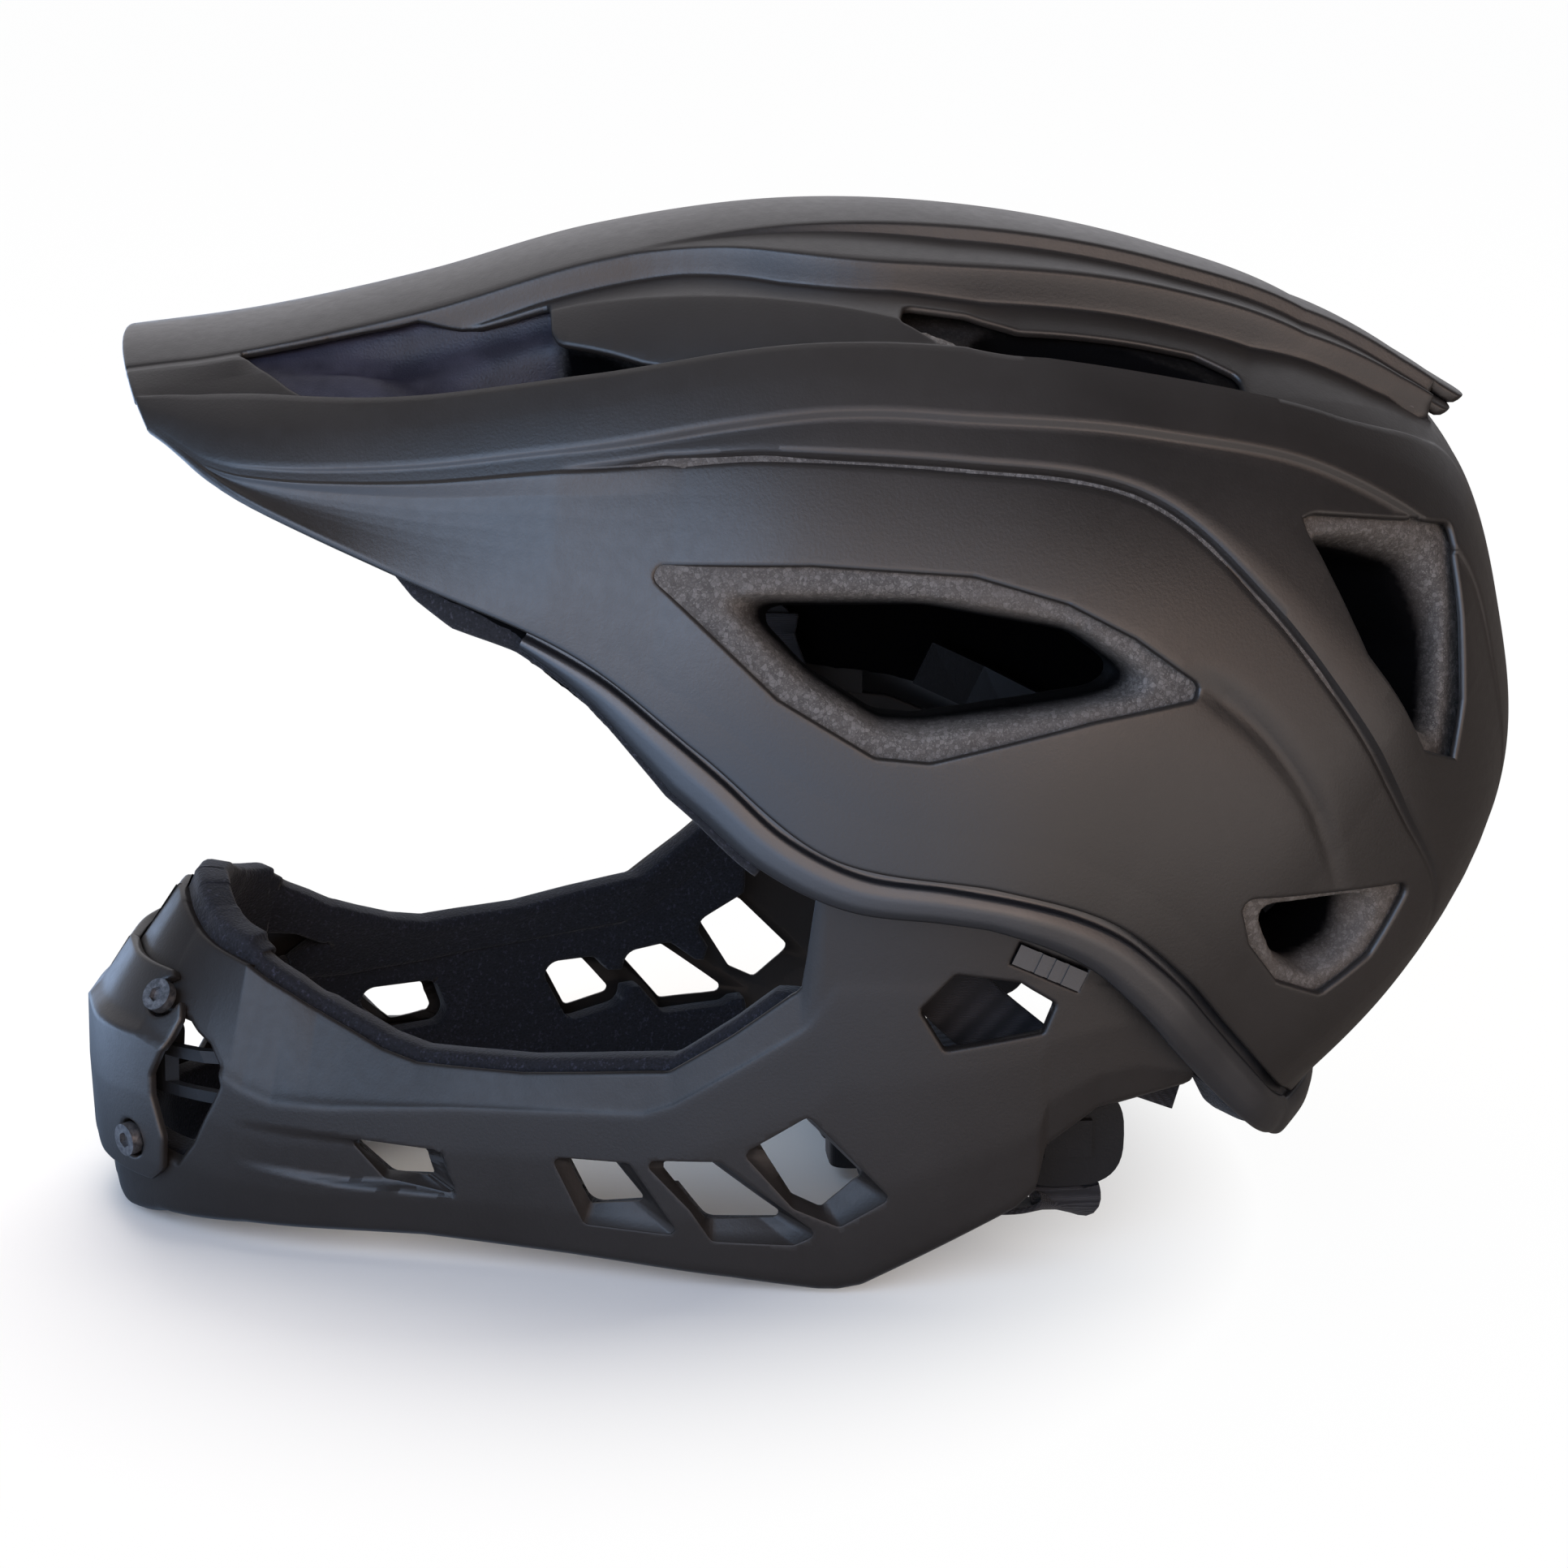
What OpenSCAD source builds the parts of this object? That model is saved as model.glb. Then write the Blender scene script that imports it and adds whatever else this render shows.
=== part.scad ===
/* [Shell] */
// Thickness of the outer shell
shell_thk = 1.8; // [1.4:0.1:2.4]
// Bond line between the shell and the foam under it
bond_gap = 0.2; // [0.1:0.05:0.3]
// Depth of the two air channels beside the crown spine
channel_depth = 8; // [5:0.5:10]
// Step between the crown spine and the band beside it
spine_step = 3; // [1.5:0.5:4]
// Step of the crease along each side
crease_step = 2.2; // [1:0.2:3]
// Height of the spine's tail above the rear of the shell
tail_lift = 9.5; // [6:0.5:12]
// How far the tip of the tail overhangs
tail_tip = 9; // [5:0.5:11]

/* [Foam liner] */
// Half width of the head space
head_half_w = 76; // [73:0.5:78]
// Half length of the head space
head_half_l = 100; // [96:1:103]
// Height of the head space above the temples
head_rise = 88; // [84:1:91]
// Width of the foam's lower edge
foam_edge = 16; // [13:1:18]

/* [Lower trim] */
// Open line between the shell and the trim
trim_gap = 1.6; // [1:0.2:2.4]
// Height of the trim band
trim_h = 8; // [6:0.5:10]
// Thickness of the trim band
trim_thk = 3.6; // [2.6:0.2:4.4]

/* [Comfort pads] */
// Thickness of the comfort pads
pad_thk = 5; // [3:0.5:7]
// Space between a pad and the foam
pad_gap = 0.3; // [0.2:0.05:0.5]

/* [Fit system] */
// Module of the rack and pinion teeth
tooth_module = 1; // [0.9:0.05:1.1]
// Diameter of the fit dial
dial_d = 30; // [26:1:32]
// Thickness of the fit dial
dial_thk = 9; // [7:0.5:10]
// Diameter of the dial's spindle
spindle_d = 4; // [3:0.5:5]
// Height of the head band
band_h = 11; // [9:0.5:12]
// Thickness of the head band
band_thk = 1.8; // [1.4:0.1:2.2]
// Running clearance of the fit system
run_gap = 0.35; // [0.25:0.05:0.5]

/* [Straps] */
// Width of the webbing
strap_w = 15; // [12:1:16]
// Thickness of the webbing
strap_thk = 1.4; // [1:0.1:1.8]
// Width of the buckle
buckle_w = 24; // [22:1:28]
// Length of the buckle's socket
buckle_l = 26; // [22:1:30]
// Thickness of the buckle
buckle_thk = 8; // [7:0.5:10]

/* [Chin guard] */
// Wall of the chin guard
guard_wall = 3; // [2.4:0.2:3.6]
// Inset of the guard's upper rim beside the front opening
rim_inset = 10; // [8:0.5:11]
// Thickness of the guard's foam and fabric lining
lining_thk = 7.5; // [5:0.5:9]
// Thickness of the front cover
cover_thk = 2.2; // [1.6:0.2:2.8]
// Half width of the front cover
cover_half_w = 32; // [28:1:35]
// Head diameter of the cover screws
screw_head_d = 7; // [6:0.5:8]
// Shank diameter of the cover screws
screw_d = 3; // [2.5:0.5:3.5]

/* [Latches] */
// Length of a latch button
button_l = 15; // [12:1:17]
// Height of a latch button
button_h = 4.4; // [3.6:0.2:5]
// Clearance round a latch button
button_gap = 0.4; // [0.3:0.05:0.6]

/* [Hidden] */

// Crown line from the visor's front edge over the top to the nape, [y, z]
crown_line = [[-141, 190], [-112, 193.5], [-78, 200.5], [-42, 210], [-2, 215], [38, 213], [76, 205], [110, 191.5],
              [139, 164.5], [151, 131], [154, 98], [140, 66], [112, 38]];
// Lower edge of the left side from the visor's corner to the nape, [x, y, z]
rim_line = [[44, -134, 177], [62, -114, 165.5], [73, -84, 151.5], [83, -52, 137.5], [91, -28, 119],
            [95.5, -3, 98.5], [97, 30, 91.5], [93, 53, 83], [87, 69, 69.5], [80, 80, 56], [74, 89, 45],
            [68, 94, 39], [62, 98, 36]];
// Angle that each cross-section wraps round, from the crown line to the lower edge
wrap_line = [62, 70, 80, 90, 97, 100, 100, 100, 100, 97, 90, 78, 64];
last_station = len(crown_line) - 1;
section_power = 0.95;
// Half widths of the spine, of the band beside it and of the air channel at each station
spine_half = [26, 26, 24, 24, 22, 20, 17, 13, 11, 10, 8, 6, 5];
band_half = [30, 30, 28, 29, 36, 35, 29, 25, 18, 14, 12, 9, 8];
channel_half = [34, 34, 40, 42, 47, 59, 58.5, 48.5, 25, 20, 18, 14, 12];
// Share of the section's height at which the side rail and the crease lie
rail_drop = [0.51, 0.76, 0.55, 0.46, 0.345, 0.275, 0.24, 0.2, 0.12, 0.1, 0.1, 0.1, 0.1];
crease_drop = [0.75, 0.88, 0.7, 0.5, 0.4, 0.34, 0.33, 0.42, 0.47, 0.45, 0.4, 0.4, 0.4];
// Where along the stations each step fades in and out
spine_fade = [[3.2, 0], [4.8, 1], [7.7, 1], [7.78, 0]];
channel_fade = [[0.84, 0], [1.8, 1], [7, 1], [7.78, 0]];
crease_fade = [[3, 0], [4.4, 1], [8.6, 1], [10.4, 0]];
lift_fade = [[6.9, 0], [7.5, 0.42], [7.7, 0.62], [7.78, 0]];
shell_rows = [0, 0.4, 0.84, 1.3, 1.8, 2.4, 3, 3.5, 4, 4.5, 5, 5.5, 6, 6.5, 7, 7.5, 7.7, 7.78, 8.3, 8.8, 9.4, 10,
              10.7, 11.4, 12];
side_columns = 4;

// Vents as corners on the shell's outer face, each with the corners of the smaller hole in the foam
side_vent = [[88, -34, 153.5], [90, -6, 153.5], [91, 25, 151], [92, 43, 145.5], [92, 56, 138.5], [91, 68, 129.5],
             [96, 48, 127], [97, 16, 120], [96, 6, 121], [93, -12, 132]];
side_hole = [[90, -13, 145], [92, 16, 145], [93, 44, 139.5], [94, 53, 133], [95, 50, 131.5], [97, 15, 127.5],
             [96, 8, 128], [94, -5, 136.5]];
rear_vent = [[69, 95, 158], [46, 127, 151], [55, 131, 128], [59, 131, 108], [67, 122, 112], [74, 109, 133],
             [72, 101, 149]];
rear_hole = [[69, 102, 151], [58, 122, 144], [56, 129, 128], [60, 129, 114], [70, 115, 124], [73, 109, 136]];
low_vent = [[86, 83, 83], [69, 118, 80], [72, 111, 69], [76, 101, 63], [80, 92, 67], [84, 85, 76]];
low_hole = [[83, 92, 79], [75, 109, 78], [74, 108, 71], [77, 101, 68], [80, 95, 72]];
front_vent = [[29, -114, 188], [41, -104, 185], [48, -95, 182.5], [54, -73, 183.5], [58.5, -51, 187],
              [59, -26, 192], [40, -56, 198], [31, -59, 201], [29, -77, 197]];
front_hole = [[44, -62, 192], [57, -55, 187], [58, -30, 191.5], [42, -50, 197]];
top_vent = [[56, 26, 195], [59.5, 45, 189.5], [56.5, 78, 182], [48, 101, 175], [41, 101, 179], [34, 80, 193],
            [37, 36, 202], [48, 24, 200]];
top_hole = [[56, 30, 195], [58, 47, 189.5], [55, 76, 183], [49, 72, 187], [48, 36, 197]];
// Direction in which each vent is pulled from the mould
side_pull = [1, 0, 0.12];
rear_pull = [0.75, 0.66, 0.1];
low_pull = [0.8, 0.6, -0.1];
crown_pull = [0.42, 0, 0.91];
vent_corner = 2;

// Head space: a half ellipsoid over a squarer neck
head_y = 29;
head_z = 100;
neck_half_w = 70;
neck_y = 24;
neck_half_l = 84;
neck_power = 0.72;

// Points of the chin guard in plan from the front centre to the left rear, [x, y]
guard_plan = [[0, -152.6], [16, -149.4], [29.5, -141.5], [40, -129], [47.5, -114], [53.5, -96], [60.5, -74], [68.5, -50],
              [76, -26], [80.5, 0], [82.5, 25], [81.5, 50], [77, 74]];
// Heights of the guard's lower edge, crease and upper rim against y
guard_foot = [[-152.6, 0], [-149, 0], [-142, 3], [-123, 5], [-85, 6], [-55, 4.5], [-22, 2], [-4, 0], [0, 0],
              [5, 1], [20, 8.5], [37, 17], [41, 20.5], [43, 30], [54, 37.5], [74, 41]];
guard_crease = [[-152.6, 45], [-141, 46], [-130, 42], [-121, 37], [-115, 35], [-103, 35], [-77, 37], [-39, 38.5],
                [-33, 41], [-5, 59], [-2, 63], [0, 66], [74, 66]];
guard_top = [[-152.6, 70], [-150, 69], [-142, 65.5], [-134, 63.5], [-124, 61.5], [-119, 58.5], [-108, 53], [-101, 50],
             [-94, 47], [-86, 45], [-64, 45], [-49, 46.5], [-34, 48], [-21, 56.5], [-7, 67], [-3, 92], [30, 87.5],
             [50, 79], [62, 69.5], [74, 57]];
// Share of the inset that the upper rim has against y
guard_lean = [[-152.6, 1.75], [-150, 1.7], [-142, 1.5], [-134, 1.25], [-124, 1], [-108, 1], [-101, 0.85], [-94, 0.65],
              [-86, 0.5], [-78, 0.4], [-64, 0.32], [-49, 0.2], [-7, 0.15], [-3, 0], [74, 0]];
guard_stations = [0, 0.5, 1, 1.5, 2, 2.5, 3.1, 3.3, 3.7, 4.2, 5, 6, 7, 7.4, 7.7, 8.3, 8.78, 8.9, 9.2, 9.6, 10, 10.64, 10.74,
                  11.2, 11.6, 12];

shell_colour = "#2b2a29";
trim_colour = "#2d2e33";
foam_colour = "#3a3734";
pad_colour = "#15151a";
webbing_colour = "#101012";
fitting_colour = "#17171a";
screw_colour = "#4b4a4c";

// Smooth curve through rows of numbers, at a place counted in rows
function spline(rows, k) =
    let (n = len(rows) - 1, i = min(floor(max(k, 0)), n - 1), t = min(max(k, 0), n) - i,
         b = rows[i], c = rows[i + 1],
         a = i > 0 ? rows[i - 1] : 2 * b - c,
         d = i + 2 <= n ? rows[i + 2] : 2 * c - b)
    (2 * b + (c - a) * t + (2 * a - 5 * b + 4 * c - d) * t * t + (3 * b - a - 3 * c + d) * t * t * t) / 2;
function unit(v) = v / norm(v);
function mirrored(p) = [-p[0], p[1], p[2]];
function mix(a, b, t) = a + (b - a) * t;

// One cross-section: crown [y, z], lower edge [x, y, z] and wrap angle
function station(k) = concat(spline(crown_line, k), spline(rim_line, k), [spline(wrap_line, k)]);
function section_point(s, t) =
    let (a = t * s[5], across = sign(a) * pow(abs(sin(a)) / sin(s[5]), section_power),
         down = (1 - cos(a)) / (1 - cos(s[5])))
    [s[2] * across, mix(s[0], s[3], down), mix(s[1], s[4], down)];
function wall(k, t, out) =
    let (s = station(k), p = section_point(s, t), e = 0.04,
         along = section_point(station(k + e), t) - section_point(station(k - e), t),
         across = section_point(s, t + e) - section_point(s, t - e))
    p + unit(cross(across, along)) * out;
// Share of the wrap at which a section reaches a half width, or a share of its height
function turn_at_width(k, x) =
    let (s = station(k)) asin(min(pow(x / s[2], 1 / section_power) * sin(s[5]), 0.999)) / s[5];
function turn_at_drop(k, share) = let (w = spline(wrap_line, k)) acos(1 - share * (1 - cos(w))) / w;

// Lanes of one half section from the crown to the lower edge, [share of the wrap, height above the base surface]
function lanes(k) =
    let (spine = turn_at_width(k, spline(spine_half, k)), foot = turn_at_width(k, spline(spine_half, k) + 1.2),
         band = turn_at_width(k, spline(band_half, k)), sunk = turn_at_width(k, spline(band_half, k) + 2),
         rise = turn_at_width(k, spline(channel_half, k) - 2), rail_in = turn_at_width(k, spline(channel_half, k)),
         rail = max(turn_at_drop(k, spline(rail_drop, k)), rail_in + 0.03),
         crease = max(turn_at_drop(k, spline(crease_drop, k)), rail + 0.05),
         lift = tail_lift * lookup(k, lift_fade), step = spine_step * lookup(k, spine_fade),
         deep = channel_depth * lookup(k, channel_fade), fold = crease_step * lookup(k, crease_fade))
    concat([[0, lift], [spine * 0.55, lift], [spine, lift - 0.4], [foot, lift - step - 0.4],
            [band, lift - step - 0.6], [max(sunk, band + 0.01), -max(deep, step)], [max(rise, sunk + 0.01), -deep],
            [rail_in, 0], [mix(rail_in, rail, 0.5), 0], [rail, 0], [rail + 0.02, -fold * 0.4],
            [crease, -fold * 0.4], [crease + 0.02, -fold]],
           [for (j = [1:side_columns]) let (t = mix(crease + 0.02, 1, j / side_columns))
               [t, -fold * pow(1 - j / side_columns, 0.6)]]);
function shell_row(k, inward) =
    let (half = [for (q = lanes(k)) wall(k, q[0], q[1] - inward)], n = len(half))
    concat([for (j = [n - 1:-1:1]) mirrored(half[j])], half);

// Closed solid between an outer and an inner grid of the same size
module slab(outer, inner) {
    rows = len(outer);
    cols = len(outer[0]);
    back = rows * cols;
    grid = [for (i = [0:rows - 2], j = [0:cols - 2]) let (a = i * cols + j, b = a + 1, c = b + cols, d = a + cols)
            each (j < (cols - 1) / 2 ? [[a, c, b], [a, d, c]] : [[a, d, b], [b, d, c]])];
    edge = concat([for (j = [0:cols - 1]) j], [for (i = [1:rows - 1]) i * cols + cols - 1],
                  [for (j = [cols - 2:-1:0]) (rows - 1) * cols + j], [for (i = [rows - 2:-1:1]) i * cols]);
    rim = [for (i = [0:len(edge) - 1]) let (a = edge[i], b = edge[(i + 1) % len(edge)])
           each [[a, b, b + back], [a, b + back, a + back]]];
    polyhedron(concat([for (r = outer) each r], [for (r = inner) each r]),
               concat(grid, [for (f = grid) [f[2] + back, f[1] + back, f[0] + back]], rim));
}

// Closed tube through rings of the same number of points
module sweep(rings) {
    n = len(rings[0]);
    last = (len(rings) - 1) * n;
    polyhedron([for (r = rings) each r],
               concat([for (i = [0:len(rings) - 2], j = [0:n - 1])
                       let (a = i * n + j, b = i * n + (j + 1) % n, c = b + n, d = a + n)
                       each [[a, b, c], [a, c, d]]],
                      [for (j = [1:n - 2]) [0, j + 1, j]],
                      [for (j = [1:n - 2]) [last, last + j, last + j + 1]]));
}

// Prism or funnel between two corner lists, pulled along one direction
module funnel(upper, lower, pull, over, under) {
    hull() {
        for (p = upper) translate(p + unit(pull) * over) sphere(vent_corner, $fn = 6);
        for (p = lower) translate(p - unit(pull) * under) sphere(vent_corner, $fn = 6);
    }
}
module both_sides() {
    children();
    mirror([1, 0, 0]) children();
}

// Blade that carries the spine's tail out over the rear of the shell
tail_thk = 3.4;
function tail_row(reach, narrow, in) =
    [for (a = [-1:0.5:1])
     let (t = a * turn_at_width(7.7, spline(spine_half, 7.7) - narrow), end = wall(7.7, t, tail_lift * 0.62 - in),
          back = wall(7.2, t, tail_lift * lookup(7.2, lift_fade) - in))
     end + unit(end - back) * reach];
module tail_blade() {
    shape = [[-3, 0.4, shell_thk], [0, 0.4, shell_thk], [1.6, 0.6, tail_thk], [tail_tip - 2, 1, tail_thk],
             [tail_tip, 3, tail_thk - 1]];
    slab([for (q = shape) tail_row(q[0], q[1], 0)], [for (q = shape) tail_row(q[0], q[1], q[2])]);
}

module outer_shell() color(shell_colour) difference() {
    union() {
        slab([for (k = shell_rows) shell_row(k, 0)], [for (k = shell_rows) shell_row(k, shell_thk)]);
        tail_blade();
    }
    both_sides() {
        funnel(side_vent, side_vent, side_pull, 16, 14);
        funnel(rear_vent, rear_vent, rear_pull, 12, 12);
        funnel(low_vent, low_vent, low_pull, 10, 10);
        funnel(front_vent, front_vent, crown_pull, 12, 14);
        funnel(top_vent, top_vent, crown_pull, 12, 14);
    }
}

// Foam under the shell, filled across to its lower edge, before the head space is hollowed out
module foam_bulk() {
    rows = [for (k = shell_rows) min(max(k, 0.2), last_station - 0.1)];
    n = (len(shell_row(0, 0)) - 1) / 2;
    slab([for (k = rows) shell_row(k, shell_thk + bond_gap)],
         [for (k = rows) let (s = station(k)) [for (j = [-n:n]) [(s[2] - foam_edge) * j / n, s[3], s[4] + 1.5]]]);
}

// Points of an oval whose corners grow squarer as the power falls
function squircle(w, l, power) =
    [for (a = [0:9:359]) [w * sign(cos(a)) * pow(abs(cos(a)), power), l * sign(sin(a)) * pow(abs(sin(a)), power)]];
head_facets = 40;
module head_space() {
    translate([0, head_y, head_z]) scale([head_half_w, head_half_l, head_rise])
        sphere(1 / pow(cos(180 / head_facets), 2), $fn = head_facets);
    translate([0, neck_y, 10]) linear_extrude(head_z - 20) polygon(squircle(neck_half_w, neck_half_l, neck_power));
}
// Point on the head space by angle round it, height angle and distance inside it
function head_pt(lon, lat, in) =
    [(head_half_w - in) * cos(lat) * cos(lon), head_y + (head_half_l - in) * cos(lat) * sin(lon),
     head_z + (head_rise - in) * sin(lat)];

// Lower edge of the shell as a path from the left brow round the nape to the right brow
function rim_path(from) =
    let (half = concat([for (k = [from:0.5:last_station - 0.1]) section_point(station(k), 1)],
                       [for (t = [1, 0.75, 0.5, 0.25]) section_point(station(last_station), t)]))
    concat(half, [section_point(station(last_station), 0)], [for (i = [len(half) - 1:-1:0]) mirrored(half[i])]);
// Each point of a path with its outward and its downward direction
function frames(path) =
    [for (i = [0:len(path) - 1])
     let (along = unit(path[min(i + 1, len(path) - 1)] - path[max(i - 1, 0)]), out = unit(cross(along, [0, 0, 1])))
     [path[i], out, cross(along, out)]];
function ring(f, outline) = [for (q = outline) f[0] + f[1] * q[0] + f[2] * q[1]];

// Height of the trim band and depth of the foam's skirt against y
edge_start = 1.7;
edge_frames = frames(rim_path(edge_start));
edge_count = len(edge_frames);
// Step from the shell's edge down to the lip that closes the gap from behind
trim_lip = 0.8;
trim_taper = [[-66, 0.25], [-28, 1.1], [30, 0.85], [75, 1.2], [100, 1]];
module lower_trim() color(trim_colour)
    sweep([for (i = [2:edge_count - 3]) let (f = edge_frames[i], h = trim_h * lookup(f[0][1], trim_taper))
           ring(f, [[-trim_thk, trim_lip], [-trim_thk, trim_gap + h], [-1.8, trim_gap + h],
                    [-0.5, trim_gap + h * 0.75], [0.2, trim_gap + h * 0.35], [-0.6, trim_gap],
                    [-shell_thk - 0.5, trim_gap], [-shell_thk - 0.5, trim_lip]])]);

// Fabric-covered foam edge that stands behind the trim at the brow and round the nape
skirt_root = 3;
skirt_depth = [[-86, 1], [-70, 5], [-28, 12.5], [0, 12], [70, 9], [100, 8]];
skirt_back = [[-90, 3.2], [-70, 3.2], [-60, trim_thk + 0.3], [120, trim_thk + 0.3]];
module skirt(first, last) sweep([for (i = [first:last])
    let (f = edge_frames[i], deep = lookup(f[0][1], skirt_depth), out = -lookup(f[0][1], skirt_back))
    ring(f, [[1 - foam_edge, -skirt_root], [1 - foam_edge, deep - 2], [-foam_edge / 2, deep],
             [out - 1, deep], [out, deep - 1], [out, -skirt_root]])]);
module skirts() {
    both_sides() skirt(0, 6);
    skirt(16, edge_count - 17);
}

module foam_liner() color(foam_colour) difference() {
    union() {
        foam_bulk();
        skirts();
    }
    head_space();
    both_sides() {
        funnel(side_vent, side_hole, side_pull, 12, 12);
        funnel(side_hole, side_hole, side_pull, -10, 40);
        funnel(rear_vent, rear_hole, rear_pull, 10, 10);
        funnel(rear_hole, rear_hole, rear_pull, -8, 45);
        funnel(low_vent, low_hole, low_pull, 8, 10);
        funnel(low_hole, low_hole, low_pull, -8, 30);
        funnel(front_vent, front_hole, crown_pull, 10, 16);
        funnel(front_hole, front_hole, crown_pull, -14, 50);
        funnel(top_vent, top_hole, crown_pull, 10, 14);
        funnel(top_hole, top_hole, crown_pull, -12, 45);
        guard_tab(tab_fit);
        anchor_places() cylinder(h = anchor_h + 1, d = anchor_d + 2 * pad_gap, $fn = 32);
    }
    dial_pocket();
    anchor_recess();
}

// Soft pad against the foam, over a range of angles round and up the head space, with rounded corners
function pad_bow(a) = sqrt(1 - 0.45 * pow(abs(a), 4));
function pad_crown(a, b) = pad_gap + pad_thk * (1 - 0.55 * max(pow(abs(a), 4), pow(abs(b), 4)));
module pad(lon, lat, reach_lon, reach_lat) {
    grid = [for (i = [-5:5]) [for (j = [-8:8]) [j / 8, i / 5]]];
    places = [for (r = grid) [for (q = r) [lon + reach_lon * q[0] * pad_bow(q[1]),
                                           lat + reach_lat * q[1] * pad_bow(q[0]), pad_crown(q[0], q[1])]]];
    slab([for (r = places) [for (q = r) head_pt(q[0], q[1], pad_gap)]],
         [for (r = places) [for (q = r) head_pt(q[0], q[1], q[2])]]);
}
module brow_pad() color(pad_colour) pad(270, 38, 38, 8);
module side_pad(lon) color(pad_colour) pad(lon, 39, 24, 8);
crown_pad_reach = 30;
crown_pad_half_w = 17;
function crown_pt(a, b, in) =
    let (x = crown_pad_half_w * a * sqrt(1 - 0.45 * pow(abs(b), 4)), y = (head_half_l - in) * sin(crown_pad_reach * b))
    [x, head_y + y, head_z + (head_rise - in) * sqrt(1 - pow(x / head_half_w, 2) - pow(y / head_half_l, 2))];
module crown_pad() color(pad_colour) {
    grid = [for (i = [-8:8]) [for (j = [-4:4]) [j / 4, i / 8]]];
    slab([for (r = grid) [for (q = r) crown_pt(q[0], q[1], pad_gap)]],
         [for (r = grid) [for (q = r) crown_pt(q[0], q[1], pad_crown(q[0], q[1]))]]);
}

// Fit system at the nape, with its dial's axis along y
dial_z = 62;
housing_y = 98.5;
housing_thk = 10;
housing_half_w = 23;
housing_half_h = 15;
housing_wall = 2;
pinion_teeth = 10;
pitch_r = pinion_teeth * tooth_module / 2;
band_travel = 10;
cradle_travel = 10;
rack_half_w = 18;
rack_thk = 2.6;
rack_bar = 3;
rack_y = housing_y + housing_thk / 2;
dial_y = housing_y + housing_thk + run_gap;
yoke_w = 22;
yoke_thk = 1.8;
yoke_y = head_y + head_half_l - 3;
peg_d = 5;
plate_y = yoke_y + yoke_thk + run_gap;
plate_thk = 2;
plate_low = 90;
plate_high = 120;
plate_half_w = 14;
module along_y() {
    rotate([-90, 0, 0]) children();
}
// Half width of the slot below the dial
pocket_half_w = 15;
module dial_pocket() {
    deep = 121 - dial_y;
    r = dial_d / 2 + 2.5;
    hull() for (z = [dial_z, dial_z + cradle_travel]) translate([0, 90, z]) along_y() cylinder(deep + dial_y - 90, r,
                                                                                         r, $fn = 40);
    translate([-pocket_half_w, 90, 28]) cube([2 * pocket_half_w, 27, dial_z - 28]);
    translate([-46, 90, dial_z - 19]) cube([92, housing_y + housing_thk + 1.5 - 90, 40]);
}
module anchor_recess() {
    translate([-plate_half_w - pad_gap, 110, plate_low - pad_gap])
        cube([2 * (plate_half_w + pad_gap), plate_y + plate_thk + pad_gap - 110, plate_high - plate_low + 2 * pad_gap]);
    translate([-plate_half_w - pad_gap, 110, plate_low])
        cube([2 * (plate_half_w + pad_gap), plate_y + pad_gap - 110, plate_high - plate_low + cradle_travel + 6]);
}
module cradle_anchor() color(fitting_colour) difference() {
    translate([-plate_half_w, plate_y, plate_low]) cube([2 * plate_half_w, plate_thk, plate_high - plate_low]);
    for (z = [plate_low + 8, plate_low + 8 + cradle_travel])
        translate([0, plate_y - 1, z]) along_y() cylinder(plate_thk + 2, d = peg_d + 2 * run_gap, $fn = 36);
    translate([-peg_d / 2 - run_gap, plate_y - 1, plate_low + 8]) cube([peg_d + 2 * run_gap, plate_thk + 2,
                                                                       cradle_travel]);
}
// Side profile of the yoke from the housing's top up to its peg, as shares of its reach with heights
yoke_root = housing_y + 4.5;
yoke_foot = dial_z + housing_half_h + 1.2;
yoke_bends = [[0, 0], [0.09, 2.2], [0.43, 4], [0.78, 6.4], [0.96, 10.8], [1, 15.8], [1, 25.8]];
yoke_line = [for (q = yoke_bends) [yoke_root + (yoke_y - yoke_root) * q[0], yoke_foot + q[1]]];
module cradle_yoke() color(fitting_colour) {
    translate([-yoke_w / 2, 0, 0]) rotate([90, 0, 90]) linear_extrude(yoke_w)
        polygon(concat(yoke_line, [for (i = [len(yoke_line) - 1:-1:0]) yoke_line[i] + [yoke_thk, i < 4 ? -1 : 0]]));
    translate([0, yoke_y + yoke_thk - 0.3, plate_low + 8]) along_y() cylinder(plate_thk + run_gap + 0.3, d = peg_d,
                                                                             $fn = 36);
}
module housing_outline() polygon(squircle(housing_half_w, housing_half_h, 0.35));
module dial_housing() color(fitting_colour) translate([0, housing_y, dial_z]) difference() {
    along_y() linear_extrude(housing_thk) housing_outline();
    translate([-housing_half_w - 1, -1, -housing_half_h + 3.5])
        cube([2 * housing_half_w + 2, housing_thk - housing_wall + 1, 2 * housing_half_h - 7]);
    along_y() cylinder(housing_thk + 1, d = spindle_d + 2 * run_gap, $fn = 32);
}
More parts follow.
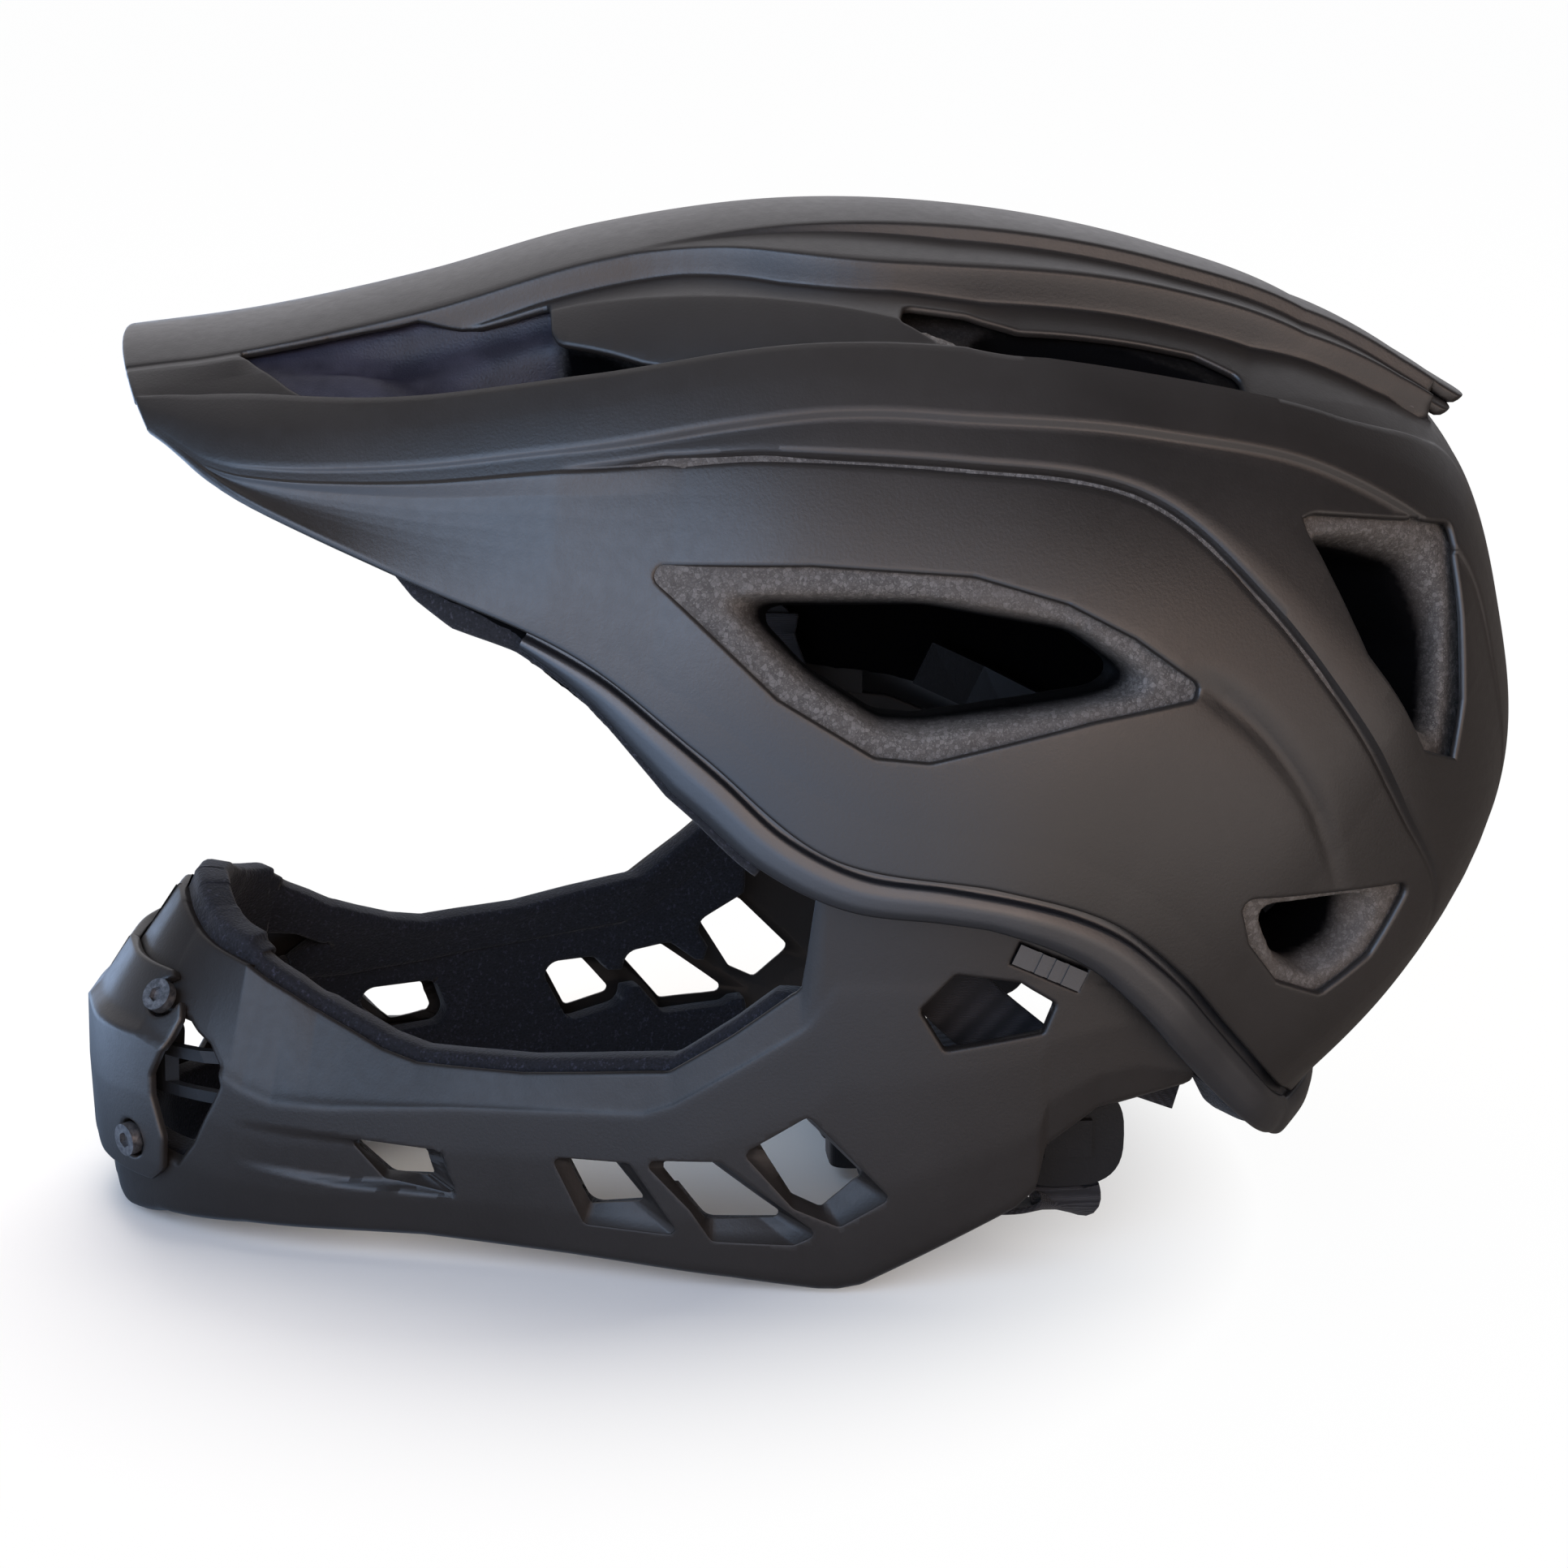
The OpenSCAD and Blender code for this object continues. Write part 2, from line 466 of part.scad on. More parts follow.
// Cover on the head's side of the housing, with a boss for the spindle
module housing_cover() color(fitting_colour) translate([0, housing_y, dial_z]) {
    translate([0, -housing_wall, 0]) along_y() linear_extrude(housing_wall - 0.05) housing_outline();
    along_y() translate([0, 0, -1]) cylinder(1.4, d = spindle_d + 4, $fn = 32);
}
module nape_pad() color(pad_colour) translate([0, housing_y - housing_wall - 0.3 - pad_thk, dial_z])
    along_y() linear_extrude(pad_thk) polygon(squircle(housing_half_w - 1, housing_half_h - 1, 0.5));
module fit_dial() color(fitting_colour) translate([0, dial_y, dial_z]) along_y() difference() {
    union() {
        cylinder(dial_thk, d1 = dial_d - 1, d2 = dial_d - 4, $fn = 48);
        for (a = [0:24:359]) rotate(a) translate([dial_d / 2 - 1.6, 0, 0]) cylinder(dial_thk - 2, d = 3.2, $fn = 16);
    }
    translate([0, 0, dial_thk - 2]) cylinder(3, d = dial_d - 12, $fn = 48);
    translate([0, 0, -1]) cylinder(4, d = spindle_d + 0.1, $fn = 32);
}
tooth_backlash = 0.5;
module dial_pinion() color(fitting_colour) translate([0, housing_y + 0.6, dial_z]) along_y() {
    half = PI * tooth_module / 4 - tooth_backlash / 2;
    linear_extrude(rack_thk + 2.4) union() {
        circle(pitch_r - 1.1 * tooth_module, $fn = 48);
        for (i = [0:pinion_teeth - 1]) rotate(i * 360 / pinion_teeth)
            polygon([[pitch_r - 1.5 * tooth_module, -half * 1.5], [pitch_r - 1.5 * tooth_module, half * 1.5],
                     [pitch_r + 0.7 * tooth_module, half * 0.5], [pitch_r + 0.7 * tooth_module, -half * 0.5]]);
    }
    cylinder(dial_y - housing_y + 2.3, d = spindle_d, $fn = 32);
}
// Rings of a flat band along a path: its widths, thickness and the way its width lies
function ribbon(path, wide, thick, lie) =
    [for (i = [0:len(path) - 1])
     let (along = unit(path[min(i + 1, len(path) - 1)] - path[max(i - 1, 0)]), w = unit(lie - along * (lie * along)),
          n = cross(along, w), a = w * wide[i] / 2, b = n * thick / 2)
     [path[i] + a + b, path[i] + a - b, path[i] - a - b, path[i] - a + b]];
// Rack above the pinion with its teeth down
rack_root = pitch_r + 1.1 * tooth_module;
module rack() {
    pitch = PI * tooth_module;
    half = pitch / 4 - tooth_backlash / 2;
    n = floor((rack_half_w - 2) / pitch);
    translate([0, rack_y + rack_thk / 2, 0]) rotate([90, 0, 0]) linear_extrude(rack_thk) union() {
        translate([-rack_half_w, rack_root]) square([rack_half_w + 33, rack_bar]);
        for (i = [-n:n]) translate([i * pitch, 0])
            polygon([[-half * 1.4, rack_root + 0.2], [half * 1.4, rack_root + 0.2],
                     [half * 0.5, pitch_r - 0.7 * tooth_module], [-half * 0.5, pitch_r - 0.7 * tooth_module]]);
    }
}
// Band that a rack draws in round the head, from the rack's end at a height off the dial's axis
module band_arm(start) {
    path = concat([[30, rack_y, start], [34, rack_y - 0.4, start]],
                  [for (a = [50:-7.5:5]) head_pt(a, -25 + (50 - a) * 0.52, 5) - [0, 0, dial_z]]);
    sweep(ribbon(path, [for (i = [0:len(path) - 1]) min(band_h, rack_bar - 0.4 + i * 2.2)], band_thk, [0, 0, 1]));
}
module headband_left() color(fitting_colour) translate([0, 0, dial_z]) {
    rack();
    band_arm(rack_root + rack_bar / 2);
}
module headband_right() color(fitting_colour) translate([0, 0, dial_z]) {
    rotate([0, 180, 0]) rack();
    mirror([1, 0, 0]) band_arm(-rack_root - rack_bar / 2);
}

// Strap anchors in the foam, at the left front and the left rear
anchor_d = 13;
anchor_h = 7;
front_anchor = [head_half_w - 6.8, 0, 107];
rear_anchor = [neck_half_w - 15.5, 74, 60];
module anchor_places() {
    for (p = [front_anchor, rear_anchor]) translate(p) rotate([0, 90, 0]) children();
}
module strap_anchors() color(fitting_colour) both_sides() anchor_places() cylinder(anchor_h, d = anchor_d, $fn = 32);

// Straps of the left side, from the anchors to the divider below the ear and on to the buckle
divider = [62, 50, 28];
divider_half_l = 12;
divider_half_h = 11;
divider_thk = 5;
buckle_y = 18;
buckle_z = 4 + buckle_thk / 2;
strap_gap = 0.25;
module strap(points, steps, lie) color(webbing_colour)
    sweep(ribbon([for (i = [0:steps]) spline(points, i * (len(points) - 1) / steps)], [for (i = [0:steps]) strap_w],
                 strap_thk, lie));
strap_in = strap_thk / 2 + strap_gap;
front_strap_line = [front_anchor + [-strap_in, 0, 4], front_anchor + [-strap_in, 0, -5], [67, 10, 80], [65, 26, 60],
                    divider + [0.5, -8, divider_half_h + 6]];
rear_strap_line = [rear_anchor + [-strap_in, 1, 4], rear_anchor + [-strap_in, -3, -5], [58, 70, 46],
                   divider + [0, divider_half_l + 4, 7]];
chin_strap_line = [[30, buckle_y, buckle_z], [38, buckle_y + 1, buckle_z], [51, divider[1] - 18, buckle_z + 1],
                   divider + [-2, -1, -divider_half_h - 6], divider + [0, 0, -divider_half_h - 0.9]];
module front_strap() strap(front_strap_line, 10, [0, 0.7, 0.7]);
module rear_strap() strap(rear_strap_line, 8, [0, -0.6, 0.8]);
module chin_strap(start) strap(concat([[start, buckle_y, buckle_z]], chin_strap_line), 14, [0, 1, 0]);
module strap_divider() color(fitting_colour) translate(divider - [divider_thk / 2, 0, 0]) {
    rotate([90, 0, 90]) linear_extrude(divider_thk) polygon(squircle(divider_half_l, divider_half_h, 0.7));
    translate([0, -5, -4]) cube([divider_thk + 1.6, 10, 8]);
}

// Buckle under the chin: the socket on the right strap, the plug on the left one
prong_w = 5;
prong_l = 15;
plug_l = 16;
buckle_fit = 0.4;
slot_h = strap_thk + 0.8;
module buckle_socket() color(fitting_colour) translate([0, buckle_y, buckle_z]) difference() {
    translate([-buckle_l, 0, -buckle_thk / 2]) linear_extrude(buckle_thk) translate([buckle_l / 2, 0])
        polygon(squircle(buckle_l / 2, buckle_w / 2, 0.4));
    translate([-prong_l - 1, -buckle_w / 2 + 2.5, -buckle_thk / 2 + 1.8])
        cube([prong_l + 2, buckle_w - 5, buckle_thk - 3.6]);
    translate([-buckle_l - 1, -strap_w / 2 - 0.5, -slot_h / 2]) cube([9, strap_w + 1, slot_h]);
}
module buckle_plug() color(fitting_colour) translate([buckle_fit, buckle_y, buckle_z]) difference() {
    union() {
        translate([0, 0, -buckle_thk / 2]) linear_extrude(buckle_thk) translate([plug_l / 2, 0])
            polygon(squircle(plug_l / 2, buckle_w / 2, 0.4));
        for (side = [-1, 1]) translate([-prong_l, side * (buckle_w / 2 - 5.5) - prong_w / 2, -1.8])
            cube([prong_l + 2, prong_w, 3.6]);
    }
    translate([-1, -strap_w / 2 - 0.5, -slot_h / 2]) cube([plug_l + 2, strap_w + 1, slot_h]);
}

// Chin guard: a moulded wall round the plan curve, with its edges in height
function guard_edge(k) = let (y = spline(guard_plan, k)[1], top = lookup(y, guard_top))
    [lookup(y, guard_foot), min(lookup(y, guard_crease), top - 3), top, lookup(y, guard_lean)];
function guard_at(k, z, out) =
    let (p = spline(guard_plan, k), e = 0.05, run = unit(spline(guard_plan, k + e) - spline(guard_plan, k - e)),
         side = k == 0 ? [0, -1] : [run[1], -run[0]])
    [max(p[0] + side[0] * out, 0), p[1] + side[1] * out, z];
// Profile of the wall from the foot to the upper rim, [z, distance outward from the plan curve]
function guard_profile(k) =
    let (e = guard_edge(k), foot = e[0], crease = e[1], top = e[2], lean = rim_inset * e[3])
    [[foot, -4.5], [foot + 2.5, -1.6], [mix(foot, crease, 0.35), -0.2], [mix(foot, crease, 0.7), 0.3], [crease, 0],
     [mix(crease, top, 0.12), -lean * 0.16 - 0.2], [top, -lean]];
function guard_bulge(k, z) = lookup(z, guard_profile(k));
function round_front(half) = let (n = len(half) - 1) concat([for (j = [n:-1:1]) mirrored(half[j])], half);
function guard_grid(in) =
    [for (v = [0:6]) round_front([for (k = guard_stations) let (q = guard_profile(k)[v]) guard_at(k, q[0], q[1] - in)])];

// Vents of the guard's left side in side view, [y, z]
guard_vents = [[[-55.5, 27], [-42.5, 27], [-34, 14.3], [-50, 15]],
               [[-36.5, 28], [-24, 28.5], [-6, 14.5], [-9, 13], [-24.5, 13.3], [-28.5, 19.5]],
               [[-17, 31.5], [-6, 38.5], [9, 22.5], [0.5, 17.3], [-8, 21]]];
guard_holes = [[[-52.5, 27], [-45.5, 27], [-40, 20], [-48.5, 18.5]],
               [[-33.5, 27.2], [-26, 28], [-12.5, 17.5], [-25.5, 17]],
               [[-14.5, 34], [-7, 38], [4, 26.5], [-3, 20.5], [-8, 23]]];
// Half width at which the wall stands at each vent
vent_x = [70, 76, 80];
slot_vent = [[-96.5, 27.5], [-81.5, 26.5], [-78.5, 19.5], [-91, 21]];
slot_hole = [[-95.5, 26.5], [-84, 26.5], [-82.5, 21.8], [-90, 21.5]];
slot_x = 56;
ear_window = [[17.5, 62.5], [24, 69], [36.5, 67], [43, 62.8], [41, 58], [22, 55]];
front_opening = [[20, 47], [37.5, 50], [41.5, 41], [40, 34], [35.5, 20.5], [20, 30]];
lining_opening = [[20, 45], [34, 47], [37.5, 43], [37.5, 32], [33.5, 21], [20, 30]];
hole_corner = 1.2;
module side_face(outline, x, grow) {
    for (q = outline) translate([x, q[0], q[1]]) rotate([0, 90, 0]) cylinder(0.1, r = hole_corner + grow, $fn = 8);
}
module side_prism(outline, from, to, grow) hull() {
    side_face(outline, from, grow);
    side_face(outline, to, grow);
}
// Cut whose lips slope from the outline on the outer face to the hole on the inner one
module side_cut(outline, hole, x) {
    side_prism(outline, x + 1, x + 20, 0);
    hull() {
        side_face(outline, x + 1, 0);
        side_face(hole, x - 3.5, 0);
    }
    side_prism(hole, x - 3.5, x - 15, 0);
}
module front_cut(outline) {
    hull() for (side = [-1, 1], q = outline) translate([side * q[0], -110, q[1]]) rotate([90, 0, 0])
        cylinder(60, r = 2, $fn = 16);
}
// Tab that plugs up into the foam behind the trim
tab_y = 10;
tab_l = 14;
tab_z = 80;
tab_top = 99;
tab_fit = 0.5;
slide = [0, -0.342, -0.94];
module guard_tab(fit) {
    x = spline(guard_plan, 9.7)[0] - guard_wall + 0.4;
    translate([x - fit, tab_y - fit - (fit > 0 ? 7 : 0), tab_z])
        cube([guard_wall - 0.8 + 2 * fit, tab_l + 2 * fit + (fit > 0 ? 7 : 0), tab_top - tab_z + fit]);
}
module chin_guard() color(shell_colour) difference() {
    union() {
        slab(guard_grid(0), guard_grid(guard_wall));
        both_sides() guard_tab(0);
    }
    both_sides() {
        for (i = [0:2]) side_cut(guard_vents[i], guard_holes[i], vent_x[i]);
        side_cut(slot_vent, slot_hole, slot_x);
        side_prism(ear_window, 70, 90, 0);
        at_latch() translate([-guard_wall - 5, -button_l / 2 - button_gap, -button_h / 2 - button_gap])
            cube([guard_wall + 10, button_l + 2 * button_gap, button_h + 2 * button_gap]);
        for (s = screw_places) at_screw(s) translate([0, 0, -9]) cylinder(12, d = screw_d + 0.3, $fn = 24);
    }
    front_cut(front_opening);
}

// Lining of foam under fabric inside the guard, with a raised lip at the front
lining_gap = 0.5;
lining_stations = [for (k = guard_stations) if (k < 8.8) k];
lining_clear = 2;
lining_lip = 3.5;
lining_high = 63;
function lining_height(k, v) =
    let (p = guard_profile(k), top = k > 6 ? min(p[6][0], lining_high) : p[6][0])
    [p[0][0] + 1, p[2][0], p[3][0], p[4][0], p[5][0], top, top + lookup(k, [[3.1, lining_lip], [3.3, 1.5]])][v];
function lining_rows(in) = [for (v = [0:6]) round_front([for (k = lining_stations) let (z = lining_height(k, v))
    guard_at(k, z, guard_bulge(k, z) - guard_wall - lining_gap - in)])];
module chin_lining() color(pad_colour) difference() {
    slab(lining_rows(0), lining_rows(lining_thk));
    both_sides() {
        for (i = [0:2]) side_prism(guard_holes[i], vent_x[i] + 4, vent_x[i] - 20, lining_clear);
        side_prism(slot_hole, slot_x + 4, slot_x - 20, lining_clear);
    }
    front_cut(lining_opening);
}

// Cover plate bolted over the guard's front opening
cover_low = 13.5;
cover_high = 58.5;
cover_waist = [[13.5, 0.82], [17, 0.92], [24, 0.94], [33, 0.88], [38, 0.88], [45, 0.97], [50, 1], [54, 0.96], [58.5, 0.8]];
cover_reach = 2.62;
// Places of the screws along and above the plan curve
screw_places = [[1.82, 21.8], [2.15, 51.8]];
screw_seat = 0.8;
cover_gap = 0.45;
function cover_row(z, out) = round_front([for (j = [0:7]) let (k = cover_reach * cover_half_w / 32
    * lookup(z, cover_waist) * j / 7) guard_at(k, z, guard_bulge(k, z) + out)]);
function wall_point(s, dk, dz) = guard_at(s[0] + dk, s[1] + dz, guard_bulge(s[0] + dk, s[1] + dz));
module at_screw(s) {
    n = cross(wall_point(s, 0.05, 0) - wall_point(s, -0.05, 0), wall_point(s, 0, 1.5) - wall_point(s, 0, -1.5));
    translate(wall_point(s, 0, 0)) rotate([0, acos(n[2] / norm(n)), atan2(n[1], n[0])]) children();
}
module chin_cover() color(shell_colour) difference() {
    rows = [for (i = [0:10]) mix(cover_low, cover_high, i / 10)];
    slab([for (z = rows) cover_row(z, cover_gap + cover_thk)], [for (z = rows) cover_row(z, cover_gap)]);
    both_sides() for (s = screw_places) at_screw(s) {
        translate([0, 0, -2]) cylinder(cover_thk + 6, d = screw_d + 0.3, $fn = 24);
        translate([0, 0, cover_gap + cover_thk - screw_seat]) cylinder(6, d = screw_head_d + 1.2, $fn = 40);
    }
}
module cover_screws() color(screw_colour) both_sides() for (s = screw_places) at_screw(s) difference() {
    union() {
        translate([0, 0, cover_gap + cover_thk - screw_seat + 0.05]) cylinder(2.4, d = screw_head_d, $fn = 40);
        translate([0, 0, 0.5 - guard_wall]) cylinder(guard_wall + cover_thk, d = screw_d, $fn = 24);
    }
    translate([0, 0, cover_thk + 0.9]) cylinder(3, d = screw_head_d * 0.5, $fn = 6);
}

// Bars behind the front opening
grille_low = 32;
grille_high = 43;
grille_reach = 3.15;
grille_thk = 2;
function grille_rows(in) = [for (z = [grille_low, grille_high]) round_front([for (j = [0:9])
    let (k = grille_reach * j / 9) guard_at(k, z, guard_bulge(k, z) - guard_wall - 0.2 - in)])];
module chin_grille() color(pad_colour) difference() {
    slab(grille_rows(0), grille_rows(grille_thk));
    for (x = [-36, -18, 0, 18, 36]) translate([x - 6.5, -170, grille_low + 2.5]) cube([13, 60, grille_high - grille_low - 5]);
}

// Latch buttons near the guard's rear, each with the leaf spring behind it
latch_y = 42.5;
latch_z = 71;
latch_tilt = -25;
button_travel = 2.5;
leaf_thk = 0.8;
leaf_h = 6;
leaf_foot = 4;
module at_latch() {
    translate([spline(guard_plan, 10.7)[0] + 0.2, latch_y, latch_z]) rotate([latch_tilt, 0, 0]) children();
}
module latch_button() color(trim_colour) at_latch() difference() {
    translate([-guard_wall - 1.6, -button_l / 2, -button_h / 2]) cube([guard_wall + 2, button_l, button_h]);
    for (y = [-3, 0, 3]) translate([0, y - 0.5, -button_h]) cube([2, 1, 2 * button_h]);
}
module latch_springs() color(screw_colour) both_sides() at_latch() {
    inner = -guard_wall - 2.2;
    deep = inner - button_travel - 1.4;
    wide = button_l / 2 + 1.5;
    translate([0, 0, -leaf_h / 2]) linear_extrude(leaf_h)
        polygon([[inner, wide + leaf_foot], [inner, wide], [deep, wide], [deep, -wide], [inner, -wide],
                 [inner, -wide - leaf_foot], [inner - leaf_thk, -wide - leaf_foot], [inner - leaf_thk, -wide - leaf_thk],
                 [deep - leaf_thk, -wide - leaf_thk], [deep - leaf_thk, wide + leaf_thk],
                 [inner - leaf_thk, wide + leaf_thk], [inner - leaf_thk, wide + leaf_foot]]);
}

// Stands the part with its box centred over the origin
box_centre_y = -1;
module centred() {
    translate([0, -box_centre_y, 0]) children();
}

centred() outer_shell();
centred() foam_liner();
centred() lower_trim();
centred() brow_pad();
centred() crown_pad();
centred() side_pad(14);  // side_pad_left
centred() side_pad(166);  // side_pad_right
centred() cradle_anchor();
centred() cradle_yoke();
centred() dial_housing();
centred() housing_cover();
centred() nape_pad();
centred() fit_dial();
centred() dial_pinion();
centred() headband_left();
centred() headband_right();
centred() strap_anchors();
centred() front_strap();  // front_strap_left
centred() mirror([1, 0, 0]) front_strap();  // front_strap_right
centred() rear_strap();  // rear_strap_left
centred() mirror([1, 0, 0]) rear_strap();  // rear_strap_right
centred() strap_divider();  // strap_divider_left
centred() mirror([1, 0, 0]) strap_divider();  // strap_divider_right
centred() chin_strap(13);  // chin_strap_left
centred() mirror([1, 0, 0]) chin_strap(buckle_l - 7.6);  // chin_strap_right
centred() buckle_socket();
centred() buckle_plug();
centred() chin_guard();
centred() chin_lining();
centred() chin_cover();
centred() cover_screws();
centred() chin_grille();
centred() latch_button();  // latch_button_left
centred() mirror([1, 0, 0]) latch_button();  // latch_button_right
centred() latch_springs();
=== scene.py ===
import math
import bpy
import numpy as np
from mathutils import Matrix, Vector
from mathutils.kdtree import KDTree


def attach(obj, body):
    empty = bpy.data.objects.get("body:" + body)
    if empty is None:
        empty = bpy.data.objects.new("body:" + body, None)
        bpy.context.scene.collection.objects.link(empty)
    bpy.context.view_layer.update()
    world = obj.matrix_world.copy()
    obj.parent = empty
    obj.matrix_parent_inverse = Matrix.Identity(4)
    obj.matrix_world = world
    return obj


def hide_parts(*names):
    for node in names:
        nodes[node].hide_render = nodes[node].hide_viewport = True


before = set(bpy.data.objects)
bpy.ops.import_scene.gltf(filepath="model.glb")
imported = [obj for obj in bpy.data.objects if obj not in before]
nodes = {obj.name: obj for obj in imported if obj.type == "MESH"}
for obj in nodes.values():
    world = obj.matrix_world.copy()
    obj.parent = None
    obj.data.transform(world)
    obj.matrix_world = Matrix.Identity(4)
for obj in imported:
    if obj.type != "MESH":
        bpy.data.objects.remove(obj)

scene = bpy.context.scene
scene.view_settings.view_transform = "Standard"
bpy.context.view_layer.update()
SHIFT = np.array([0.0, 1.0, 0.0])  # millimetres from the drawing to the frame


def metres(p):
    return (np.asarray(p, float) + SHIFT) * 0.001


# Camera
AIM = Vector((0, -0.0018, 0.088))
AZ, EL, DIST = math.radians(84.3), math.radians(15.3), 0.834
FOCAL_PIXELS, PHOTO_PIXELS, SENSOR_MM = 4695, 1932, 36
look = Vector((-math.sin(AZ) * math.cos(EL), math.cos(AZ) * math.cos(EL), -math.sin(EL)))
cam = bpy.data.objects.new("camera", bpy.data.cameras.new("camera"))
cam.location = AIM - look * DIST
cam.rotation_euler = look.to_track_quat("-Z", "Y").to_euler()
cam.data.lens = FOCAL_PIXELS / PHOTO_PIXELS * SENSOR_MM
cam.data.sensor_width = SENSOR_MM
cam.data.clip_start = 0.05
scene.collection.objects.link(cam)
scene.camera = cam


# Materials
class Nodes:
    """The node tree of a material or a world, with a short way to add nodes and join them."""

    def __init__(self, owner, coordinates="Object"):
        self.owner = owner
        owner.use_nodes = True
        self.tree = owner.node_tree
        self.place = self.add("TexCoord").outputs[coordinates]

    def add(self, kind, **values):
        """New node, with its inputs and settings by name; an underscore stands for a space."""
        return self.fill(self.tree.nodes.new("ShaderNode" + kind), values)

    def fill(self, n, values):
        for key, v in values.items():
            if key in n.inputs:
                self.put(n.inputs[key], v)
            elif hasattr(n, key):
                setattr(n, key, v)
            else:
                self.put(n.inputs[key.replace("_", " ")], v)
        return n

    def put(self, socket, v):
        if isinstance(v, bpy.types.NodeSocket):
            self.tree.links.new(v, socket)
        else:
            socket.default_value = v

    def set(self, **values):
        self.fill(self.tree.nodes["Principled BSDF"], values)

    def noise(self, scale, detail=3.0, rough=0.5):
        n = self.add("TexNoise", Vector=self.place, Scale=scale, Detail=detail, Roughness=rough)
        return n.outputs["Fac"]

    def cells(self, scale, feature="F1", out="Distance"):
        return self.add("TexVoronoi", Vector=self.place, Scale=scale, feature=feature).outputs[out]

    def ramp(self, fac, stops):
        n = self.add("ValToRGB", Fac=fac)
        while len(n.color_ramp.elements) < len(stops):
            n.color_ramp.elements.new(0.5)
        for e, (p, c) in zip(n.color_ramp.elements, stops):
            e.position = p
            e.color = (*c, 1)
        return n.outputs["Color"]

    def span(self, fac, a, b, lo, hi):
        n = self.add("MapRange", Value=fac, From_Min=a, From_Max=b, To_Min=lo, To_Max=hi)
        return n.outputs["Result"]

    def math(self, op, a, b):
        n = self.add("Math", operation=op)
        self.put(n.inputs[0], a)
        self.put(n.inputs[1], b)
        return n.outputs[0]

    def mix(self, fac, a, b, kind="MIX"):
        n = self.add("Mix", data_type="RGBA", blend_type=kind)
        self.put(n.inputs[0], fac)
        for socket, v in ((n.inputs[6], a), (n.inputs[7], b)):
            self.put(socket, (*v, 1) if isinstance(v, tuple) else v)
        return n.outputs[2]

    def blend(self, fac, a, b):
        n = self.add("MixShader", Fac=fac)
        self.put(n.inputs[1], a)
        self.put(n.inputs[2], b)
        return n.outputs[0]

    def bump(self, height, strength, distance, normal=None):
        n = self.add("Bump", Height=height, Strength=strength, Distance=distance)
        if normal is not None:
            self.put(n.inputs["Normal"], normal)
        return n.outputs["Normal"]


def material(name):
    return Nodes(bpy.data.materials.new(name))


def moulded(name, low, high, rough, grain=0.35, specular=0.5):
    """Matt moulded plastic: a fine spark-eroded grain, and a slow change of tone and gloss."""
    m = material(name)
    slow = m.noise(14, 4)
    fine = m.noise(1500, 2, 0.6)
    spot = m.noise(420, 3)
    m.set(Base_Color=m.mix(m.span(slow, 0.3, 0.7, 0, 1), low, high),
          Roughness=m.span(m.math("ADD", m.math("MULTIPLY", slow, 0.7), m.math("MULTIPLY", spot, 0.3)),
                           0.35, 0.65, *rough),
          Specular_IOR_Level=specular,
          Normal=m.bump(fine, grain, 0.00012, m.bump(slow, 0.1, 0.0008)))
    return m.owner


BEAD_SCALE = 1100


def beads():
    """Moulded bead foam: small crushed cells with pale and dark specks, and painted shade that makes it
    darker and less glossy the deeper it lies.
    """
    m = material("bead_foam")
    deep = m.add("Attribute", attribute_name="deep").outputs["Fac"]
    floor = m.add("Attribute", attribute_name="floor").outputs["Fac"]
    edge = m.cells(BEAD_SCALE, "DISTANCE_TO_EDGE")
    grey = m.add("SeparateColor", Color=m.cells(BEAD_SCALE, out="Color")).outputs[0]
    speck = m.noise(2600, 3, 0.7)
    base = m.ramp(grey, [(0, (0.034, 0.031, 0.029)), (0.6, (0.060, 0.055, 0.052)),
                         (1, (0.105, 0.098, 0.093))])
    pale = m.mix(m.span(speck, 0.52, 0.7, 0, 0.8), base, (0.17, 0.16, 0.15))
    grain = m.mix(m.span(edge, 0.0, 0.09, 0.6, 0), pale, (0.016, 0.015, 0.014))
    warm = m.mix(m.span(m.noise(25), 0.35, 0.65, 0, 0.5), grain, (0.075, 0.062, 0.052))
    mottled = m.mix(m.span(m.noise(90, 4), 0.4, 0.65, 0, 1), (0.008, 0.0075, 0.013), (0.019, 0.018, 0.028))
    shade = m.mix(floor, warm, mottled)
    # painted shade: by the deep attribute the foam fades to near black and loses its gloss
    m.set(Base_Color=m.mix(deep, shade, (0.0012, 0.0012, 0.0014)),
          Roughness=m.span(floor, 0, 1, 0.75, 0.5), Specular_IOR_Level=m.span(deep, 0, 1, 0.3, 0.02),
          Normal=m.bump(edge, 0.4, 0.0002, m.bump(speck, 0.3, 0.00015)))
    return m.owner


def mesh_cloth(name, low, high, scale):
    """Open knitted mesh over foam: offset round holes with a soft sheen."""
    m = material(name)
    hole = m.cells(scale)
    ridge = m.noise(2600, 2)
    slow = m.noise(60, 3)
    body = m.mix(m.span(hole, 0.25, 0.55, 1, 0), high, low)
    tint = m.mix(m.span(slow, 0.35, 0.65, 0, 0.6), body, tuple(0.5 * (a + b) for a, b in zip(low, high)))
    fleck = m.noise(1150, 3, 0.7)
    m.set(Base_Color=m.mix(m.span(fleck, 0.56, 0.68, 0, 0.9), tint, tuple(4 * c for c in high)),
          Roughness=0.85, Specular_IOR_Level=0.25, Sheen_Weight=0.08, Sheen_Roughness=0.5,
          Normal=m.bump(hole, 0.6, 0.0002, m.bump(ridge, 0.25, 0.0001)))
    return m.owner


